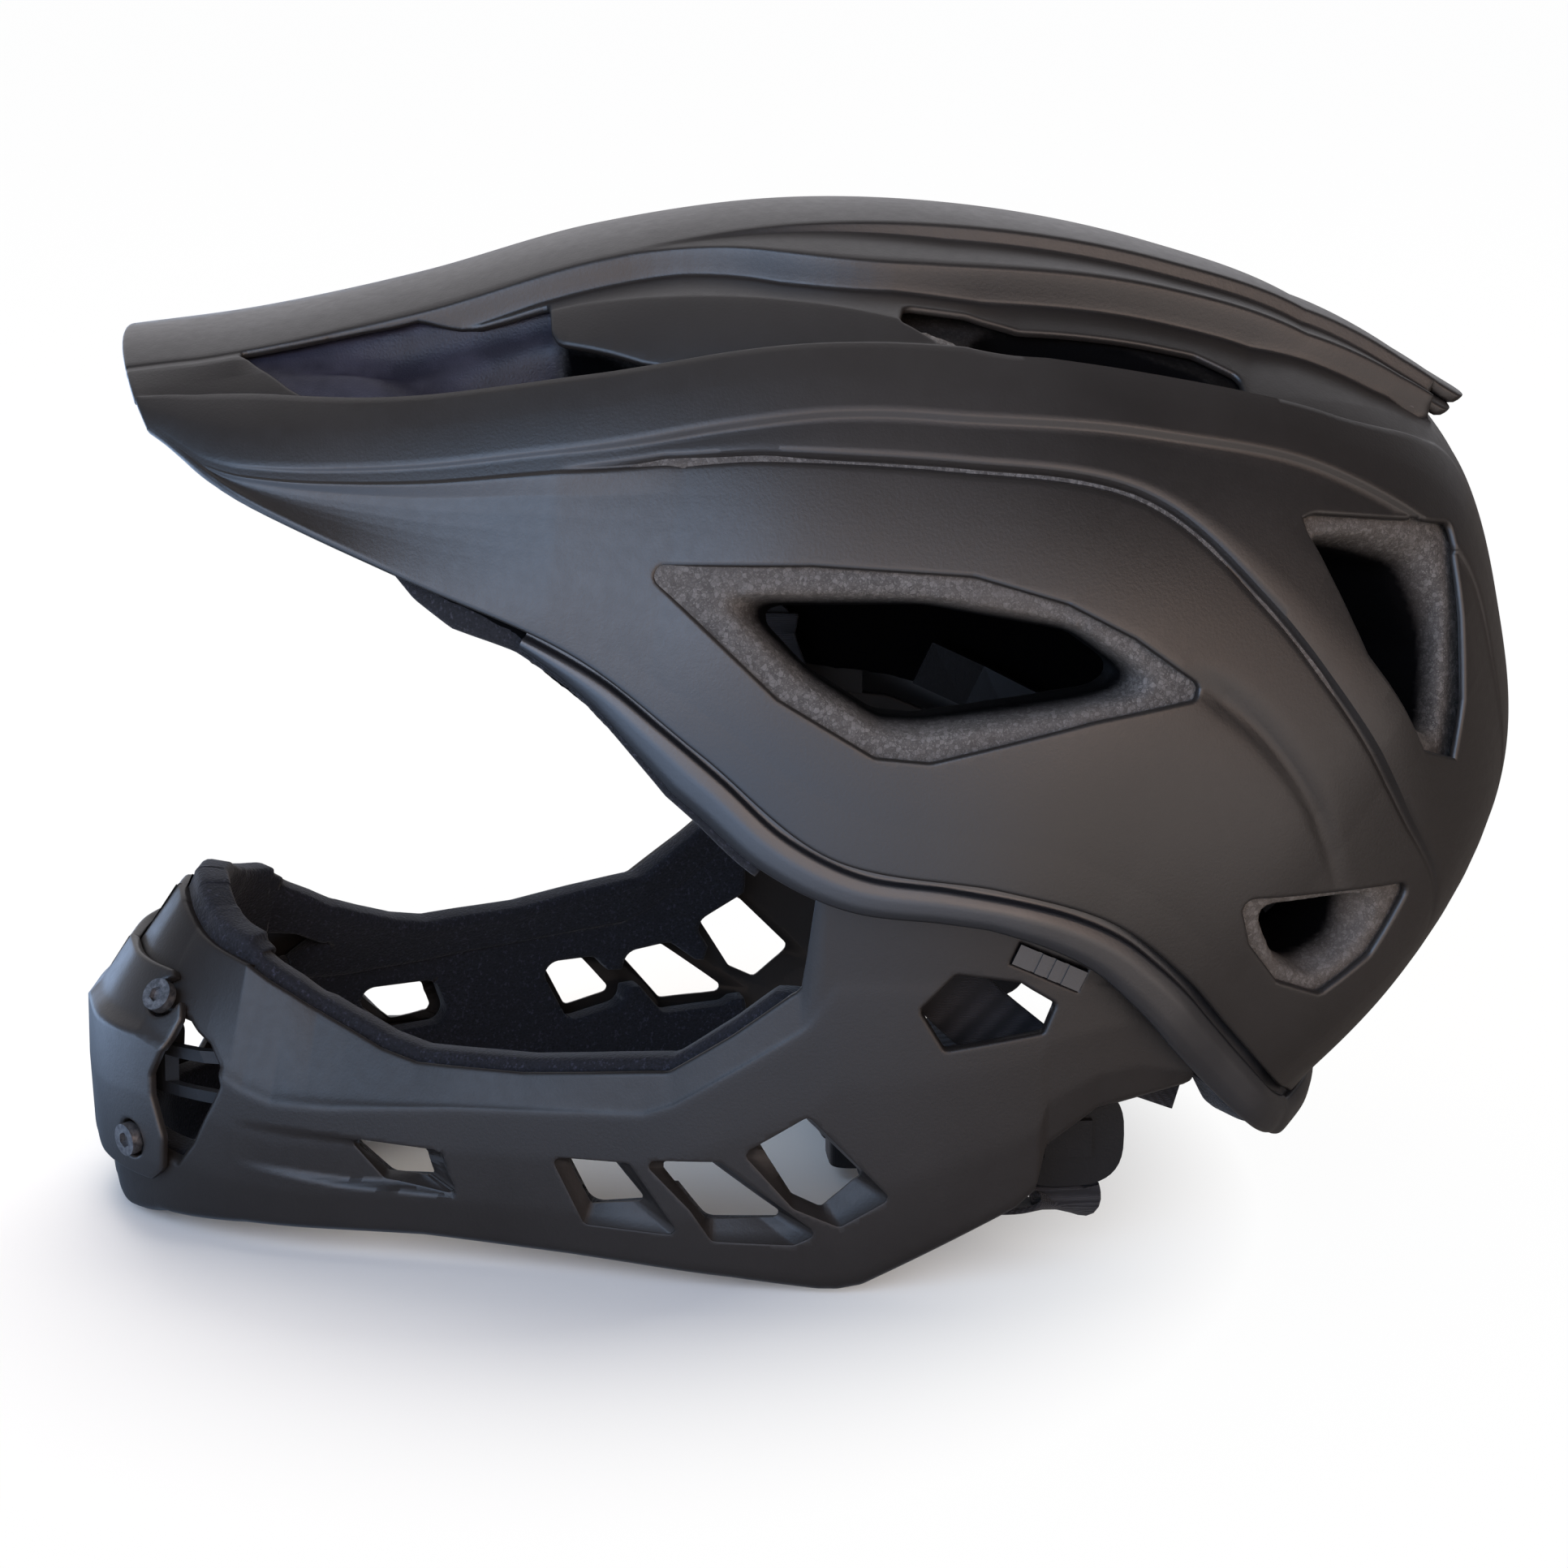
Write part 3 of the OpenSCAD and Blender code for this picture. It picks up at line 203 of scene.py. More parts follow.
def webbing():
    """Flat woven strap: twill ribs across a fine yarn."""
    m = material("strap_weave")
    waves = [m.add("TexWave", Vector=m.place, Scale=scale, Distortion=bend, Detail=1.0, bands_direction=way)
             for scale, bend, way in ((620, 0.6, "X"), (900, 0.8, "Z"))]
    weave = m.math("MULTIPLY", *(n.outputs["Fac"] for n in waves))
    m.set(Base_Color=m.mix(weave, (0.006, 0.006, 0.008), (0.028, 0.028, 0.033)), Roughness=0.7,
          Sheen_Weight=0.08, Specular_IOR_Level=0.3, Normal=m.bump(weave, 0.6, 0.0002))
    return m.owner


def steel():
    """Blackened screw steel with a turned, slightly worn face."""
    m = material("dark_steel")
    fine = m.noise(900, 4, 0.7)
    m.set(Base_Color=m.mix(m.span(fine, 0.4, 0.65, 0, 1), (0.11, 0.108, 0.112), (0.22, 0.21, 0.21)),
          Metallic=0.85, Roughness=m.span(fine, 0.3, 0.7, 0.28, 0.48), Normal=m.bump(fine, 0.2, 0.0001))
    return m.owner


SHELL = moulded("shell_plastic", (0.0105, 0.0088, 0.0078), (0.0165, 0.014, 0.0125), (0.33, 0.45))
GUARD_TONES = ((0.0115, 0.0095, 0.0085), (0.017, 0.0145, 0.013))
GUARD = moulded("guard_plastic", *GUARD_TONES, (0.35, 0.48), specular=0.3)
COVER = moulded("cover_plastic", *GUARD_TONES, (0.33, 0.44))
TRIM = moulded("trim_plastic", (0.0095, 0.0096, 0.011), (0.014, 0.0142, 0.016), (0.33, 0.44), 0.25, 0.75)
FITTING = moulded("fitting_nylon", (0.006, 0.006, 0.0066), (0.01, 0.01, 0.0108), (0.3, 0.42), 0.3, 0.18)
FOAM = beads()
PAD = mesh_cloth("pad_mesh", (0.002, 0.002, 0.003), (0.0065, 0.0065, 0.0095), 1500)
EDGE = mesh_cloth("edge_cloth", (0.0022, 0.0022, 0.0032), (0.007, 0.007, 0.0095), 1600)
WEB = webbing()
STEEL = steel()


# Curves and grids
def spline(rows, k):
    """Smooth curve through rows of numbers, at places counted in rows."""
    rows = np.asarray(rows, float)
    n = len(rows) - 1
    k = np.atleast_1d(k)
    i = np.clip(np.floor(np.maximum(k, 0)), 0, n - 1).astype(int)
    t = (np.clip(k, 0, n) - i)[:, None]
    r = np.vstack([2 * rows[0] - rows[1], rows, 2 * rows[-1] - rows[-2]])
    a, b, c, d = r[i], r[i + 1], r[i + 2], r[i + 3]
    return (2 * b + (c - a) * t + (2 * a - 5 * b + 4 * c - d) * t ** 2 + (3 * b - a - 3 * c + d) * t ** 3) / 2


def spline1(numbers, k):
    return spline(np.array(numbers, float)[:, None], k)[:, 0]


def lookup(x, table):
    return np.interp(x, *np.array(table, float).T)


def unit(v):
    v = np.asarray(v, float)
    return v / np.maximum(np.linalg.norm(v, axis=-1, keepdims=True), 1e-12)


def mix(a, b, t):
    return a + (b - a) * t


def steps(spans):
    """Joined runs of evenly spread numbers: [(from, to, count), ...]."""
    return np.concatenate([[spans[0][0]]] + [np.linspace(a, b, n + 1)[1:] for a, b, n in spans])


def grid_faces(rows, cols):
    i, j = np.meshgrid(np.arange(rows - 1), np.arange(cols - 1), indexing="ij")
    a = (i * cols + j).ravel()
    return np.stack([a, a + 1, a + cols + 1, a + cols], 1)


def vertex_normals(v, quads):
    n = np.zeros_like(v)
    face = np.cross(v[quads[:, 2]] - v[quads[:, 0]], v[quads[:, 3]] - v[quads[:, 1]])
    for c in range(4):
        np.add.at(n, quads[:, c], face)
    return unit(n)


OUTLINE_STEP = 0.6


def rounded(corners, r):
    """Outline round clockwise corners at a distance r, as a dense closed run of points."""
    p = np.array(corners[::-1], float)
    out = []
    for i in range(len(p)):
        a, b, c = p[i - 1], p[i], p[(i + 1) % len(p)]
        u, w = unit(b - a), unit(c - b)
        t0, t1 = math.atan2(-u[0], u[1]), math.atan2(-w[0], w[1])
        turn = (t1 - t0 + math.pi) % (2 * math.pi) - math.pi
        for s in np.linspace(0, 1, 6):
            out.append(b + r * np.array([math.cos(t0 + turn * s), math.sin(t0 + turn * s)]))
    dense = []
    for a, b in zip(out, out[1:] + out[:1]):
        n = max(1, int(np.linalg.norm(b - a) / OUTLINE_STEP))
        dense += [mix(a, b, s / n) for s in range(n)]
    return np.array(dense)


def signed(p, corners, r=0.0):
    """Distance from points to a closed outline in its plane, grown by r; negative inside."""
    c = np.asarray(corners, float)
    best = np.full(len(p), 1e9)
    inside = np.zeros(len(p), bool)
    for a, b in zip(c, np.roll(c, -1, 0)):
        e, w = b - a, p - a
        t = np.clip(w @ e / (e @ e), 0, 1)
        best = np.minimum(best, np.linalg.norm(w - t[:, None] * e, axis=1))
        crosses = (a[1] > p[:, 1]) != (b[1] > p[:, 1])
        with np.errstate(divide="ignore", invalid="ignore"):
            x = e[0] * (p[:, 1] - a[1]) / e[1] + a[0]
        inside ^= crosses & (p[:, 0] < x)
    return np.where(inside, -best, best) - r


def clip(data, faces, dist):
    """Cuts a sheet along dist = 0 and keeps the side above it. data has a row for each point."""
    d = dist.tolist()
    extra, made, out = [], {}, []
    base = len(data)

    def cut(a, b):
        key = (a, b) if a < b else (b, a)
        if key not in made:
            made[key] = base + len(extra)
            t = d[key[0]] / (d[key[0]] - d[key[1]])
            extra.append(data[key[0]] * (1 - t) + data[key[1]] * t)
        return made[key]

    for f in faces:
        ins = [d[v] > 0 for v in f]
        if all(ins):
            out.append(f)
        elif any(ins):
            poly = []
            for i, a in enumerate(f):
                b = f[(i + 1) % len(f)]
                if d[a] > 0:
                    poly.append(a)
                if (d[a] > 0) != (d[b] > 0):
                    poly.append(cut(a, b))
            if len(poly) > 2:
                out.append(tuple(poly))
    return (np.vstack([data, extra]) if extra else data), out


def compact(data, faces):
    used = sorted({v for f in faces for v in f})
    place = {v: i for i, v in enumerate(used)}
    return data[used], [tuple(place[v] for v in f) for f in faces]


def mirror_half(data, faces):
    """Adds the other side of a half sheet whose seam lies at x = 0. data is [x y z nx ny nz ...]."""
    seam = np.abs(data[:, 0]) < 1e-4
    other = np.where(seam, np.arange(len(data)), -1)
    free = np.flatnonzero(~seam)
    other[free] = len(data) + np.arange(len(free))
    twin = data[free].copy()
    twin[:, [0, 3]] *= -1
    return np.vstack([data, twin]), faces + [tuple(int(other[v]) for v in reversed(f)) for f in faces]


def loops(faces):
    """Closed runs of points along the sheet's open edges, with the sheet on their left."""
    seen = dict.fromkeys(pair for f in faces for pair in zip(f, f[1:] + f[:1]))
    follow = {a: b for a, b in seen if (b, a) not in seen}
    out = []
    while follow:
        a, b = follow.popitem()
        run = [a]
        while b in follow:
            run.append(b)
            b = follow.pop(b)
        out.append(run)
    return out


EDGE_ROUND = [(0.38, 0.06), (0.72, 0.26), (0.92, 0.58), (1, 1)]
ROLL = 0.9  # how far the rolled edges of the shell and the guard stand out


def thick(data, faces, thk, edge, special=None):
    """Closed shell under a sheet: its lower face, and rolled edges that stand out by edge."""
    v, n = data[:, :3], data[:, 3:6]
    count = len(v)
    points = [v, v - n * thk]
    out = list(faces) + [tuple(i + count for i in reversed(f)) for f in faces]
    total = 2 * count
    for run in loops(faces):
        run = np.array(run)
        p, pn = v[run], unit(n[run])
        ahead = p[(np.arange(len(p)) + 2) % len(p)] - p[np.arange(len(p)) - 2]
        away = unit(np.cross(unit(ahead), pn))
        rings = special(p, pn, away) if special else None
        if rings is None:
            rings = [p + away * edge * s - pn * edge * d for s, d in EDGE_ROUND]
            rings += [p + away * edge * s - pn * (thk - edge * d * 0.5) for s, d in reversed(EDGE_ROUND)]
        rows = [total + i * len(run) + np.arange(len(run)) for i in range(len(rings))]
        rows = [run] + rows + [run + count]
        points += rings
        total += len(rings) * len(run)
        for a, b in zip(rows, rows[1:]):
            out += [tuple(q) for q in np.stack([np.roll(a, -1), a, b, np.roll(b, -1)], 1).tolist()]
    return np.vstack(points), out


def dress(o, mat, body):
    """Smooth shading, a material and a body to ride on."""
    me = o.data
    me.polygons.foreach_set("use_smooth", [True] * len(me.polygons))
    me.materials.clear()
    me.materials.append(mat)
    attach(o, body)


def build(name, v, faces, mat, body, slot, replaces=(), sharp=None):
    """Mesh object from the drawing's millimetres, riding on a body."""
    me = bpy.data.meshes.new(name)
    me.from_pydata(metres(v).tolist(), [], [tuple(int(i) for i in f) for f in faces])
    me.validate()
    me.update()
    o = bpy.data.objects.new(name, me)
    scene.collection.objects.link(o)
    dress(o, mat, body)
    if sharp:
        me.set_sharp_from_angle(angle=math.radians(sharp))
    if replaces:
        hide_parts(*replaces)
    return o


def from_half(name, data, faces, thk, edge, *looks, special=None, sharp=None):
    """Piece from half a sheet: compacted, mirrored, thickened and built."""
    data, faces = mirror_half(*compact(data, faces))
    v, f = thick(data, faces, thk, edge, special)
    return build(name, v, f, *looks, sharp=sharp)


def values_of(items, key, width=3, kind=float):
    """What Blender holds for each of a mesh's items, as rows."""
    out = np.zeros(len(items) * width, kind)
    items.foreach_get(key, out)
    return out.reshape(-1, width)


def tube(rings):
    """Points and faces of a closed tube through rings of the same number of points."""
    n, last = len(rings[0]), len(rings) - 1
    a = np.arange(n)
    b = np.roll(a, -1)
    quads = np.stack([a, b, b + n, a + n], 1)
    out = [tuple(q) for i in range(last) for q in (quads + i * n).tolist()]
    return np.vstack(rings), out + [tuple(a[::-1]), tuple(a + last * n)]


# Shell surface
crown_line = [
    [-141, 190], [-112, 193.5], [-78, 200.5], [-42, 210], [-2, 215], [38, 213], [76, 205], [110, 191.5],
    [139, 164.5], [151, 131], [154, 98], [140, 66], [112, 38]]
rim_line = [
    [44, -134, 177], [62, -114, 165.5], [73, -84, 151.5], [83, -52, 137.5], [91, -28, 119],
    [95.5, -3, 98.5], [97, 30, 91.5], [93, 53, 83], [87, 69, 69.5], [80, 80, 56], [74, 89, 45],
    [68, 94, 39], [62, 98, 36]]
wrap_line = [62, 70, 80, 90, 97, 100, 100, 100, 100, 97, 90, 78, 64]
POWER = 0.95
spine_half = [26, 26, 24, 24, 22, 20, 17, 13, 11, 10, 8, 6, 5]
crease_drop = [0.3, 0.3, 0.3, 0.46, 0.4, 0.34, 0.33, 0.42, 0.47, 0.45, 0.4, 0.4, 0.4]
spine_fade = [[3.2, 0], [4.8, 1], [7.7, 1], [7.78, 0]]
lift_fade = [[6.9, 0], [7.5, 0.42], [7.7, 0.62], [7.78, 0]]
STEP, FOLD, LIFT = 3, 2.2, 9.5
SHELL_THK = 1.8
FIRST_K, TAIL_K, TAIL_END, LAST_K = 0.03, 7.7, 7.78, 11.97  # stations of the front, the tail and the nape


def wrap(k):
    return np.radians(spline1(wrap_line, k))


def section(k, t):
    """Points of the shell's base surface at stations k and shares t of the wrap."""
    c, r, w = spline(crown_line, k), spline(rim_line, k), wrap(k)
    a = t * w
    across = np.sign(a) * (np.abs(np.sin(a)) / np.sin(w)) ** POWER
    down = (1 - np.cos(a)) / (1 - np.cos(w))
    return np.stack([r[:, 0] * across, mix(c[:, 0], r[:, 1], down), mix(c[:, 1], r[:, 2], down)], 1)


def wall(k, t, out):
    """Points at a distance out from the base surface."""
    e = 0.04
    along = section(k + e, t) - section(k - e, t)
    across = section(k, t + e) - section(k, t - e)
    return section(k, t) + unit(np.cross(across, along)) * np.asarray(out, float)[:, None]


def turn_at_width(k, x):
    """Share of the wrap at which the shell is x out from its middle."""
    w = wrap(k)
    return np.arcsin(np.minimum((x / spline(rim_line, k)[:, 0]) ** (1 / POWER) * np.sin(w), 0.999)) / w


def turn_at_drop(k, share):
    """Share of the wrap at which the shell has come down by a share of its height."""
    return np.arccos(1 - share * (1 - np.cos(wrap(k)))) / wrap(k)


# Lines on the shell, against the station: half widths, heights, and for rail_low shares of the drop
band_edge = [
    [0, 27.5], [3.45, 25.6], [3.8, 31], [4.2, 37.5], [4.5, 37], [5.08, 35.3], [5.6, 31.5], [6.23, 27.5],
    [6.85, 25.5], [7.3, 22], [7.78, 17], [8.5, 13], [12, 8]]
channel_floor = [
    [0, 0], [0.84, 0], [1.8, 6], [2.6, 5], [3.4, 5.5], [3.9, 7], [4.5, 7], [5, 9], [6.6, 9], [7.4, 4],
    [7.7, 1], [7.78, 0]]
ridge_at = [
    [0, 36], [2.6, 35], [3.15, 40], [3.65, 45], [4.1, 49.8], [4.53, 54], [4.85, 57.4], [5.2, 58],
    [6.2, 52], [7, 44], [7.78, 24], [12, 11]]
ridge_high = [
    [0, 0], [2.4, -3.5], [3.2, -2.6], [4, -2.4], [4.6, -1.6], [4.9, -2], [5.2, -9], [6.6, -9], [7.4, -3],
    [7.78, 0]]
outer_low = [
    [0, 0], [2.4, -6.5], [3.2, -6.5], [3.7, -5], [4.5, -2.4], [4.9, -2.2], [5.2, -9], [6.6, -9],
    [7.4, -3], [7.78, 0]]
rail_top = [
    [0, 38], [0.84, 42], [1.58, 49.4], [2.15, 53.3], [2.85, 58.9], [3.2, 60.7], [4, 61.5], [4.95, 60.8],
    [5.6, 61.2], [6.18, 59.2], [6.8, 54.9], [7.38, 47], [7.78, 30], [8.3, 22], [9, 18], [12, 12]]
rail_low = [
    [0, 0.97], [0.6, 0.913], [0.83, 0.837], [1.33, 0.704], [1.8, 0.61], [2.5, 0.512], [3.03, 0.464],
    [3.4, 0.41], [3.9, 0.353], [4.48, 0.297], [5.43, 0.26], [6.23, 0.239], [6.88, 0.214], [7.5, 0.18],
    [8.3, 0.12], [12, 0.1]]
step_on = [[0, 0], [0.3, 0.6], [7.6, 1], [8.3, 0]]
wedge_on = [[2.8, 0], [3.6, 1], [8.6, 1], [10, 0]]
scoop_on = [[0.2, 0], [0.8, 3.6], [2.4, 4.2], [3.3, 2.6], [4.2, 0.6], [5, 0]]
fold_on_at = [[2.8, 0], [3.5, 1], [8.6, 1], [10.4, 0]]
LOWER_ROWS = 8


def lanes(k):
    """Shares of the wrap and heights of the lanes across one half, each with a row for every station."""
    def at(table):
        return lookup(k, table)

    def eased(table):
        return sum(lookup(k + d, table) for d in (-0.3, -0.2, -0.1, 0, 0.1, 0.2, 0.3)) / 7

    sp_x = spline1(spine_half, k)
    sp = turn_at_width(k, sp_x)
    foot = turn_at_width(k, sp_x + 1.0)
    band_x = np.maximum(eased(band_edge), sp_x + 1.6)
    band = np.maximum(turn_at_width(k, band_x), foot + 0.004)
    sunk = np.maximum(turn_at_width(k, band_x + 2.2), band + 0.008)
    floor_end = np.maximum(turn_at_width(k, band_x + 3.4), sunk + 0.006)
    ridge = np.maximum(turn_at_width(k, eased(ridge_at)), floor_end + 0.01)
    rail_in = np.maximum(turn_at_width(k, eased(rail_top)), ridge + 0.03)
    rise = np.maximum(rail_in - 0.012, ridge + 0.015)
    rail = np.maximum(turn_at_drop(k, eased(rail_low)), rail_in + 0.03)
    crease = np.maximum(turn_at_drop(k, spline1(crease_drop, k)), rail + 0.03)
    lift, step = LIFT * at(lift_fade), STEP * at(spine_fade)
    deep, on = at(channel_floor), at(fold_on_at)
    room = np.clip((0.985 - rail) / 0.2, 0, 1)
    drop = (0.9 * at(step_on) + 0.7 * on) * room
    zero = np.zeros_like(k)
    rows = [(zero, lift), (sp * 0.55, lift), (sp, lift - 0.1), (foot, lift - step - 0.2),
            (band, lift - step - 0.5 + 1.6 * at(spine_fade)), (sunk, -np.maximum(deep, step)),
            (floor_end, -deep), (ridge, at(ridge_high)), (rise, at(outer_low)),
            (rail_in, 0.5 * at(step_on)), (mix(rail_in, rail, 0.5), 0.4 * at(step_on)), (rail, zero),
            (rail + 0.004, -drop), (crease, -drop + 0.3 * on * at(wedge_on)),
            (crease + 0.004, -drop - 2.2 * on), (crease + 0.009, -drop - 2.2 * on),
            (crease + 0.014, -FOLD * on - 0.2 * on)]
    scoop = at(scoop_on) * room
    for j in range(1, LOWER_ROWS + 1):
        u = j / LOWER_ROWS
        rows.append((mix(crease + 0.014, 1, u), -(FOLD + 0.2) * on * (1 - u) ** 0.6
                     - (drop * (1 - on) * (1 - u)) - scoop * 1.9 * u * (1 - u) ** 1.5))
    t = np.stack([r[0] for r in rows], 1)
    for j in range(1, t.shape[1]):
        t[:, j] = np.maximum(t[:, j], t[:, j - 1] + 0.0015)
    over = t[:, -1:] - 1
    t = np.where(over > 0, t / (1 + over), t)
    return t, np.stack([r[1] for r in rows], 1)


def lane_height(k, t, lane_t, lane_h, soft):
    """Height over the base surface, with each step softened over about soft of the wrap."""
    total = np.zeros(t.shape)
    weights = [(-1, 1), (-0.5, 2), (0, 2), (0.5, 2), (1, 1)]
    for s, w in weights:
        for i in range(len(k)):
            total[i] += w * np.interp(np.abs(t[i] + s * soft[i]), lane_t[i], lane_h[i])
    return total / sum(w for _, w in weights)


counts = [8, 7, 4, 7, 5, 4, 9, 9, 5, 6, 7, 4, 7, 4, 3, 4] + [8] * LOWER_ROWS
ks = steps([(FIRST_K, TAIL_K, 300), (TAIL_K, TAIL_END, 5), (TAIL_END, LAST_K, 160)])
lane_t, lane_h = lanes(ks)
last_t = 1 - ROLL / (spline(rim_line, ks)[:, 0] * 1.9)
lane_t[:, -1] = last_t
lane_t = np.minimum(lane_t, last_t[:, None] - 0.0012 * np.arange(lane_t.shape[1] - 1, -1, -1))
cols = [lane_t[:, :1]]
for j, n in enumerate(counts):
    s = (1 - np.cos(np.linspace(0, 1, n + 1)[1:] * math.pi)) / 2
    cols.append(mix(lane_t[:, j:j + 1], lane_t[:, j + 1:j + 2], s))
ts = np.hstack(cols)
soft = 0.55 / (spline(rim_line, ks)[:, 0] * 1.75)
heights = lane_height(ks, ts, lane_t, lane_h, soft)
rows_n, cols_n = ts.shape
kk = np.repeat(ks, cols_n)
tt = ts.ravel()

# A second, shallow fold runs from the side vent's rear corner down to the nape
drop_all = (1 - np.cos(tt * wrap(kk))) / (1 - np.cos(wrap(kk)))
fold_at = lookup(kk, [[6.6, 0.58], [7.4, 0.6], [8.8, 0.65]])
fold_on = lookup(kk, [[6.6, 0], [7.0, 1], [8.2, 1], [9.0, 0]])
gap = (drop_all - fold_at) * 150
groove = 1.3 * np.exp(-(gap / 3) ** 2)
slope = 0.6 * np.exp(-(np.clip(gap, 0, 99) / 9) ** 2) * np.clip(0.5 + gap / 3, 0, 1)
shell_v = wall(kk, tt, heights.ravel() - fold_on * (groove + slope))
shell_q = grid_faces(rows_n, cols_n)
shell_n = vertex_normals(shell_v, shell_q)
if shell_n[cols_n * (rows_n // 3)][2] < 0:
    shell_q, shell_n = shell_q[:, ::-1], -shell_n
shell = np.hstack([shell_v, shell_n])
shell_f = [tuple(q) for q in shell_q.tolist()]

# Each vent has the direction that it is cut along and its outline, with a height where that matters
VENTS = {
    "side": ([1, 0, 0.12], [
        [88, -34, 153.5], [90, -6, 153.5], [91, 25, 151], [92, 43, 145.5], [92, 56, 138.5],
        [91, 68, 129.5], [96, 48, 127], [97, 16, 120], [96, 6, 121], [93, -12, 132]]),
    "rear": ([0.75, 0.66, 0.1], [
        [69, 95, 158], [46, 127, 151], [55, 131, 128], [59, 131, 108], [67, 122, 112], [74, 109, 133],
        [72, 101, 149]]),
    "low": ([0.8, 0.6, -0.1], [
        [86, 83, 83], [69, 118, 80], [72, 111, 69], [76, 101, 63], [80, 92, 67], [84, 85, 76]]),
    "front": ([0, 0, 1], [
        [28.5, -115], [39, -105.5], [47.5, -94.5], [51.5, -75], [57.4, -50], [59.2, -38.7], [59.6, -22],
        [53.2, -36.5], [43.5, -54.5], [29.5, -54.5], [28, -80]]),
    "top": ([0, 0, 1], [
        [53, 16], [58.6, 27], [59.2, 45], [58.6, 62], [56, 80], [50, 87.5], [39.5, 86.5], [37.5, 78],
        [40.5, 58], [43.5, 36], [46, 17.5]]),
}
CROWN_Z = 190
VENT_CORNER = {"front": 0.7, "top": 0.7}
FAR = 50.0  # a distance that no cut reaches


for name, (pull, corners) in VENTS.items():
    n = unit(pull)
    u = unit(np.cross(n, [0, 1, 0]))
    w = np.cross(n, u)
    c = np.array([corner + [CROWN_Z] if len(corner) < 3 else corner for corner in corners], float)
    flat = np.stack([c @ u, c @ w], 1)
    near = (np.abs(shell[:, :3] @ n - (c @ n).mean()) < 32) & (shell[:, 0] > 2)
    dist = np.full(len(shell), FAR)
    pts = shell[near][:, :3]
    dist[near] = signed(np.stack([pts @ u, pts @ w], 1), flat, VENT_CORNER.get(name, 2.0) + ROLL)
    shell, shell_f = clip(shell, shell_f, dist)
from_half("shell_skin", shell, shell_f, SHELL_THK, ROLL, SHELL, "helmet", "shell", ["outer_shell"], sharp=50)


# Two blades, one over the other, that carry the spine and its band out over the rear
TAIL_LIFT, TAIL_AIM_K = LIFT * 0.62, 7.2


def tail_ring(reach, wide, high, thk, n=56):
    a = np.linspace(0, 2 * math.pi, n, endpoint=False)
    across = np.sign(np.cos(a)) * np.abs(np.cos(a)) ** 0.3
    depth = thk * (1 - np.sign(np.sin(a)) * np.abs(np.sin(a)) ** 0.45) / 2
    half = turn_at_width(np.array([TAIL_K]), wide)[0]
    end = wall(np.full(n, TAIL_K), across * half, high - depth)
    back = wall(np.full(n, TAIL_AIM_K), across * half,
                high - TAIL_LIFT + LIFT * lookup(TAIL_AIM_K, lift_fade) - depth)
    return end + unit(end - back) * reach


for name, wide, high, grow in (("tail_fin", spline1(spine_half, TAIL_K)[0], TAIL_LIFT, 0),
                               ("tail_under", 16.5, TAIL_LIFT - STEP - 0.3, -1.6)):
    tail = [(-3, 0.4, 1.8), (-1, 0.4, 1.8), (0, 0.4, 1.9), (0.8, 0.5, 2.6), (1.6, 0.6, 3.3), (4, 0.8, 3.6),
            (6.4 + grow, 1, 3.6), (7.4 + grow, 1.6, 3), (7.9 + grow, 2.4, 2.2), (8.1 + grow, 3.2, 1.2)]
    v, f = tube([tail_ring(r, wide - narrow, high, thk) for r, narrow, thk in tail])
    build(name, v, f, SHELL, "helmet", "shell", ["outer_shell"], sharp=40)


# Foam liner
def remeshed(name, node, voxel, passes, mat, body):
    """Copy of a CAD node's solid, remeshed evenly and smoothed."""
    o = bpy.data.objects.new(name, nodes[node].data.copy())
    scene.collection.objects.link(o)
    m = o.modifiers.new("even", "REMESH")
    m.mode, m.voxel_size, m.use_smooth_shade = "VOXEL", voxel, True
    s = o.modifiers.new("soften", "SMOOTH")
    s.factor, s.iterations = 0.5, passes
    bpy.context.view_layer.update()
    me = bpy.data.meshes.new_from_object(o.evaluated_get(bpy.context.evaluated_depsgraph_get()))
    o.modifiers.clear()
    o.data = me
    dress(o, mat, body)
    return o


FOAM_VOXEL, FRONT_PASSES = 0.0014, 14
foam = remeshed("foam_body", "foam_liner", FOAM_VOXEL, 4, FOAM, "helmet")
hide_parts("foam_liner")

# The foam keeps under the shell, has deep wells along the rail, and its points know how deep they lie, which
# sets the painted shade on the deeper foam
base_k, base_t = np.linspace(FIRST_K, LAST_K, 220), np.linspace(0, 1, 90)
grid_k, grid_t = (g.ravel() for g in np.meshgrid(base_k, base_t, indexing="ij"))
base = section(grid_k, grid_t)
inward = base - wall(grid_k, grid_t, np.ones(grid_k.size))
row_t, row_h = lanes(base_k)
over_base = np.concatenate([np.interp(base_t, row_t[i], row_h[i]) for i in range(len(base_k))])
tree = KDTree(len(base))
for i, p in enumerate(base.tolist()):
    tree.insert(p, i)
tree.balance()
foam_p = values_of(foam.data.vertices, "co") * 1000 - SHIFT
side = np.where(foam_p[:, 0] < 0, -1.0, 1.0)[:, None] * [1, 0, 0] + [0, 1, 1]
half_p = foam_p * side
found = [tree.find(p)[1:] for p in half_p.tolist()]
nearest, depth = np.array([f[0] for f in found]), np.array([f[1] for f in found])
outer = (depth < 13) & (half_p[:, 2] > 160)
push = np.clip(SHELL_THK + 0.5 - over_base[nearest] - depth, 0, 9) * outer * (half_p[:, 0] < 63)
WELL_DEPTH = 13
WELLS = [
    [[47.5, 27], [60, 30], [61, 45], [60.5, 62], [58, 79], [51, 83], [47.5, 72], [47, 50]],
    [[45, -53], [52, -52], [61, -40], [62, -22], [55, -28]]]
for outline in WELLS:
    inside = -signed(half_p[:, :2], outline)
    push = push + WELL_DEPTH * np.clip(inside / 1.6, 0, 1) * outer
half_p = half_p + inward[nearest] * push[:, None]
depth = depth + push

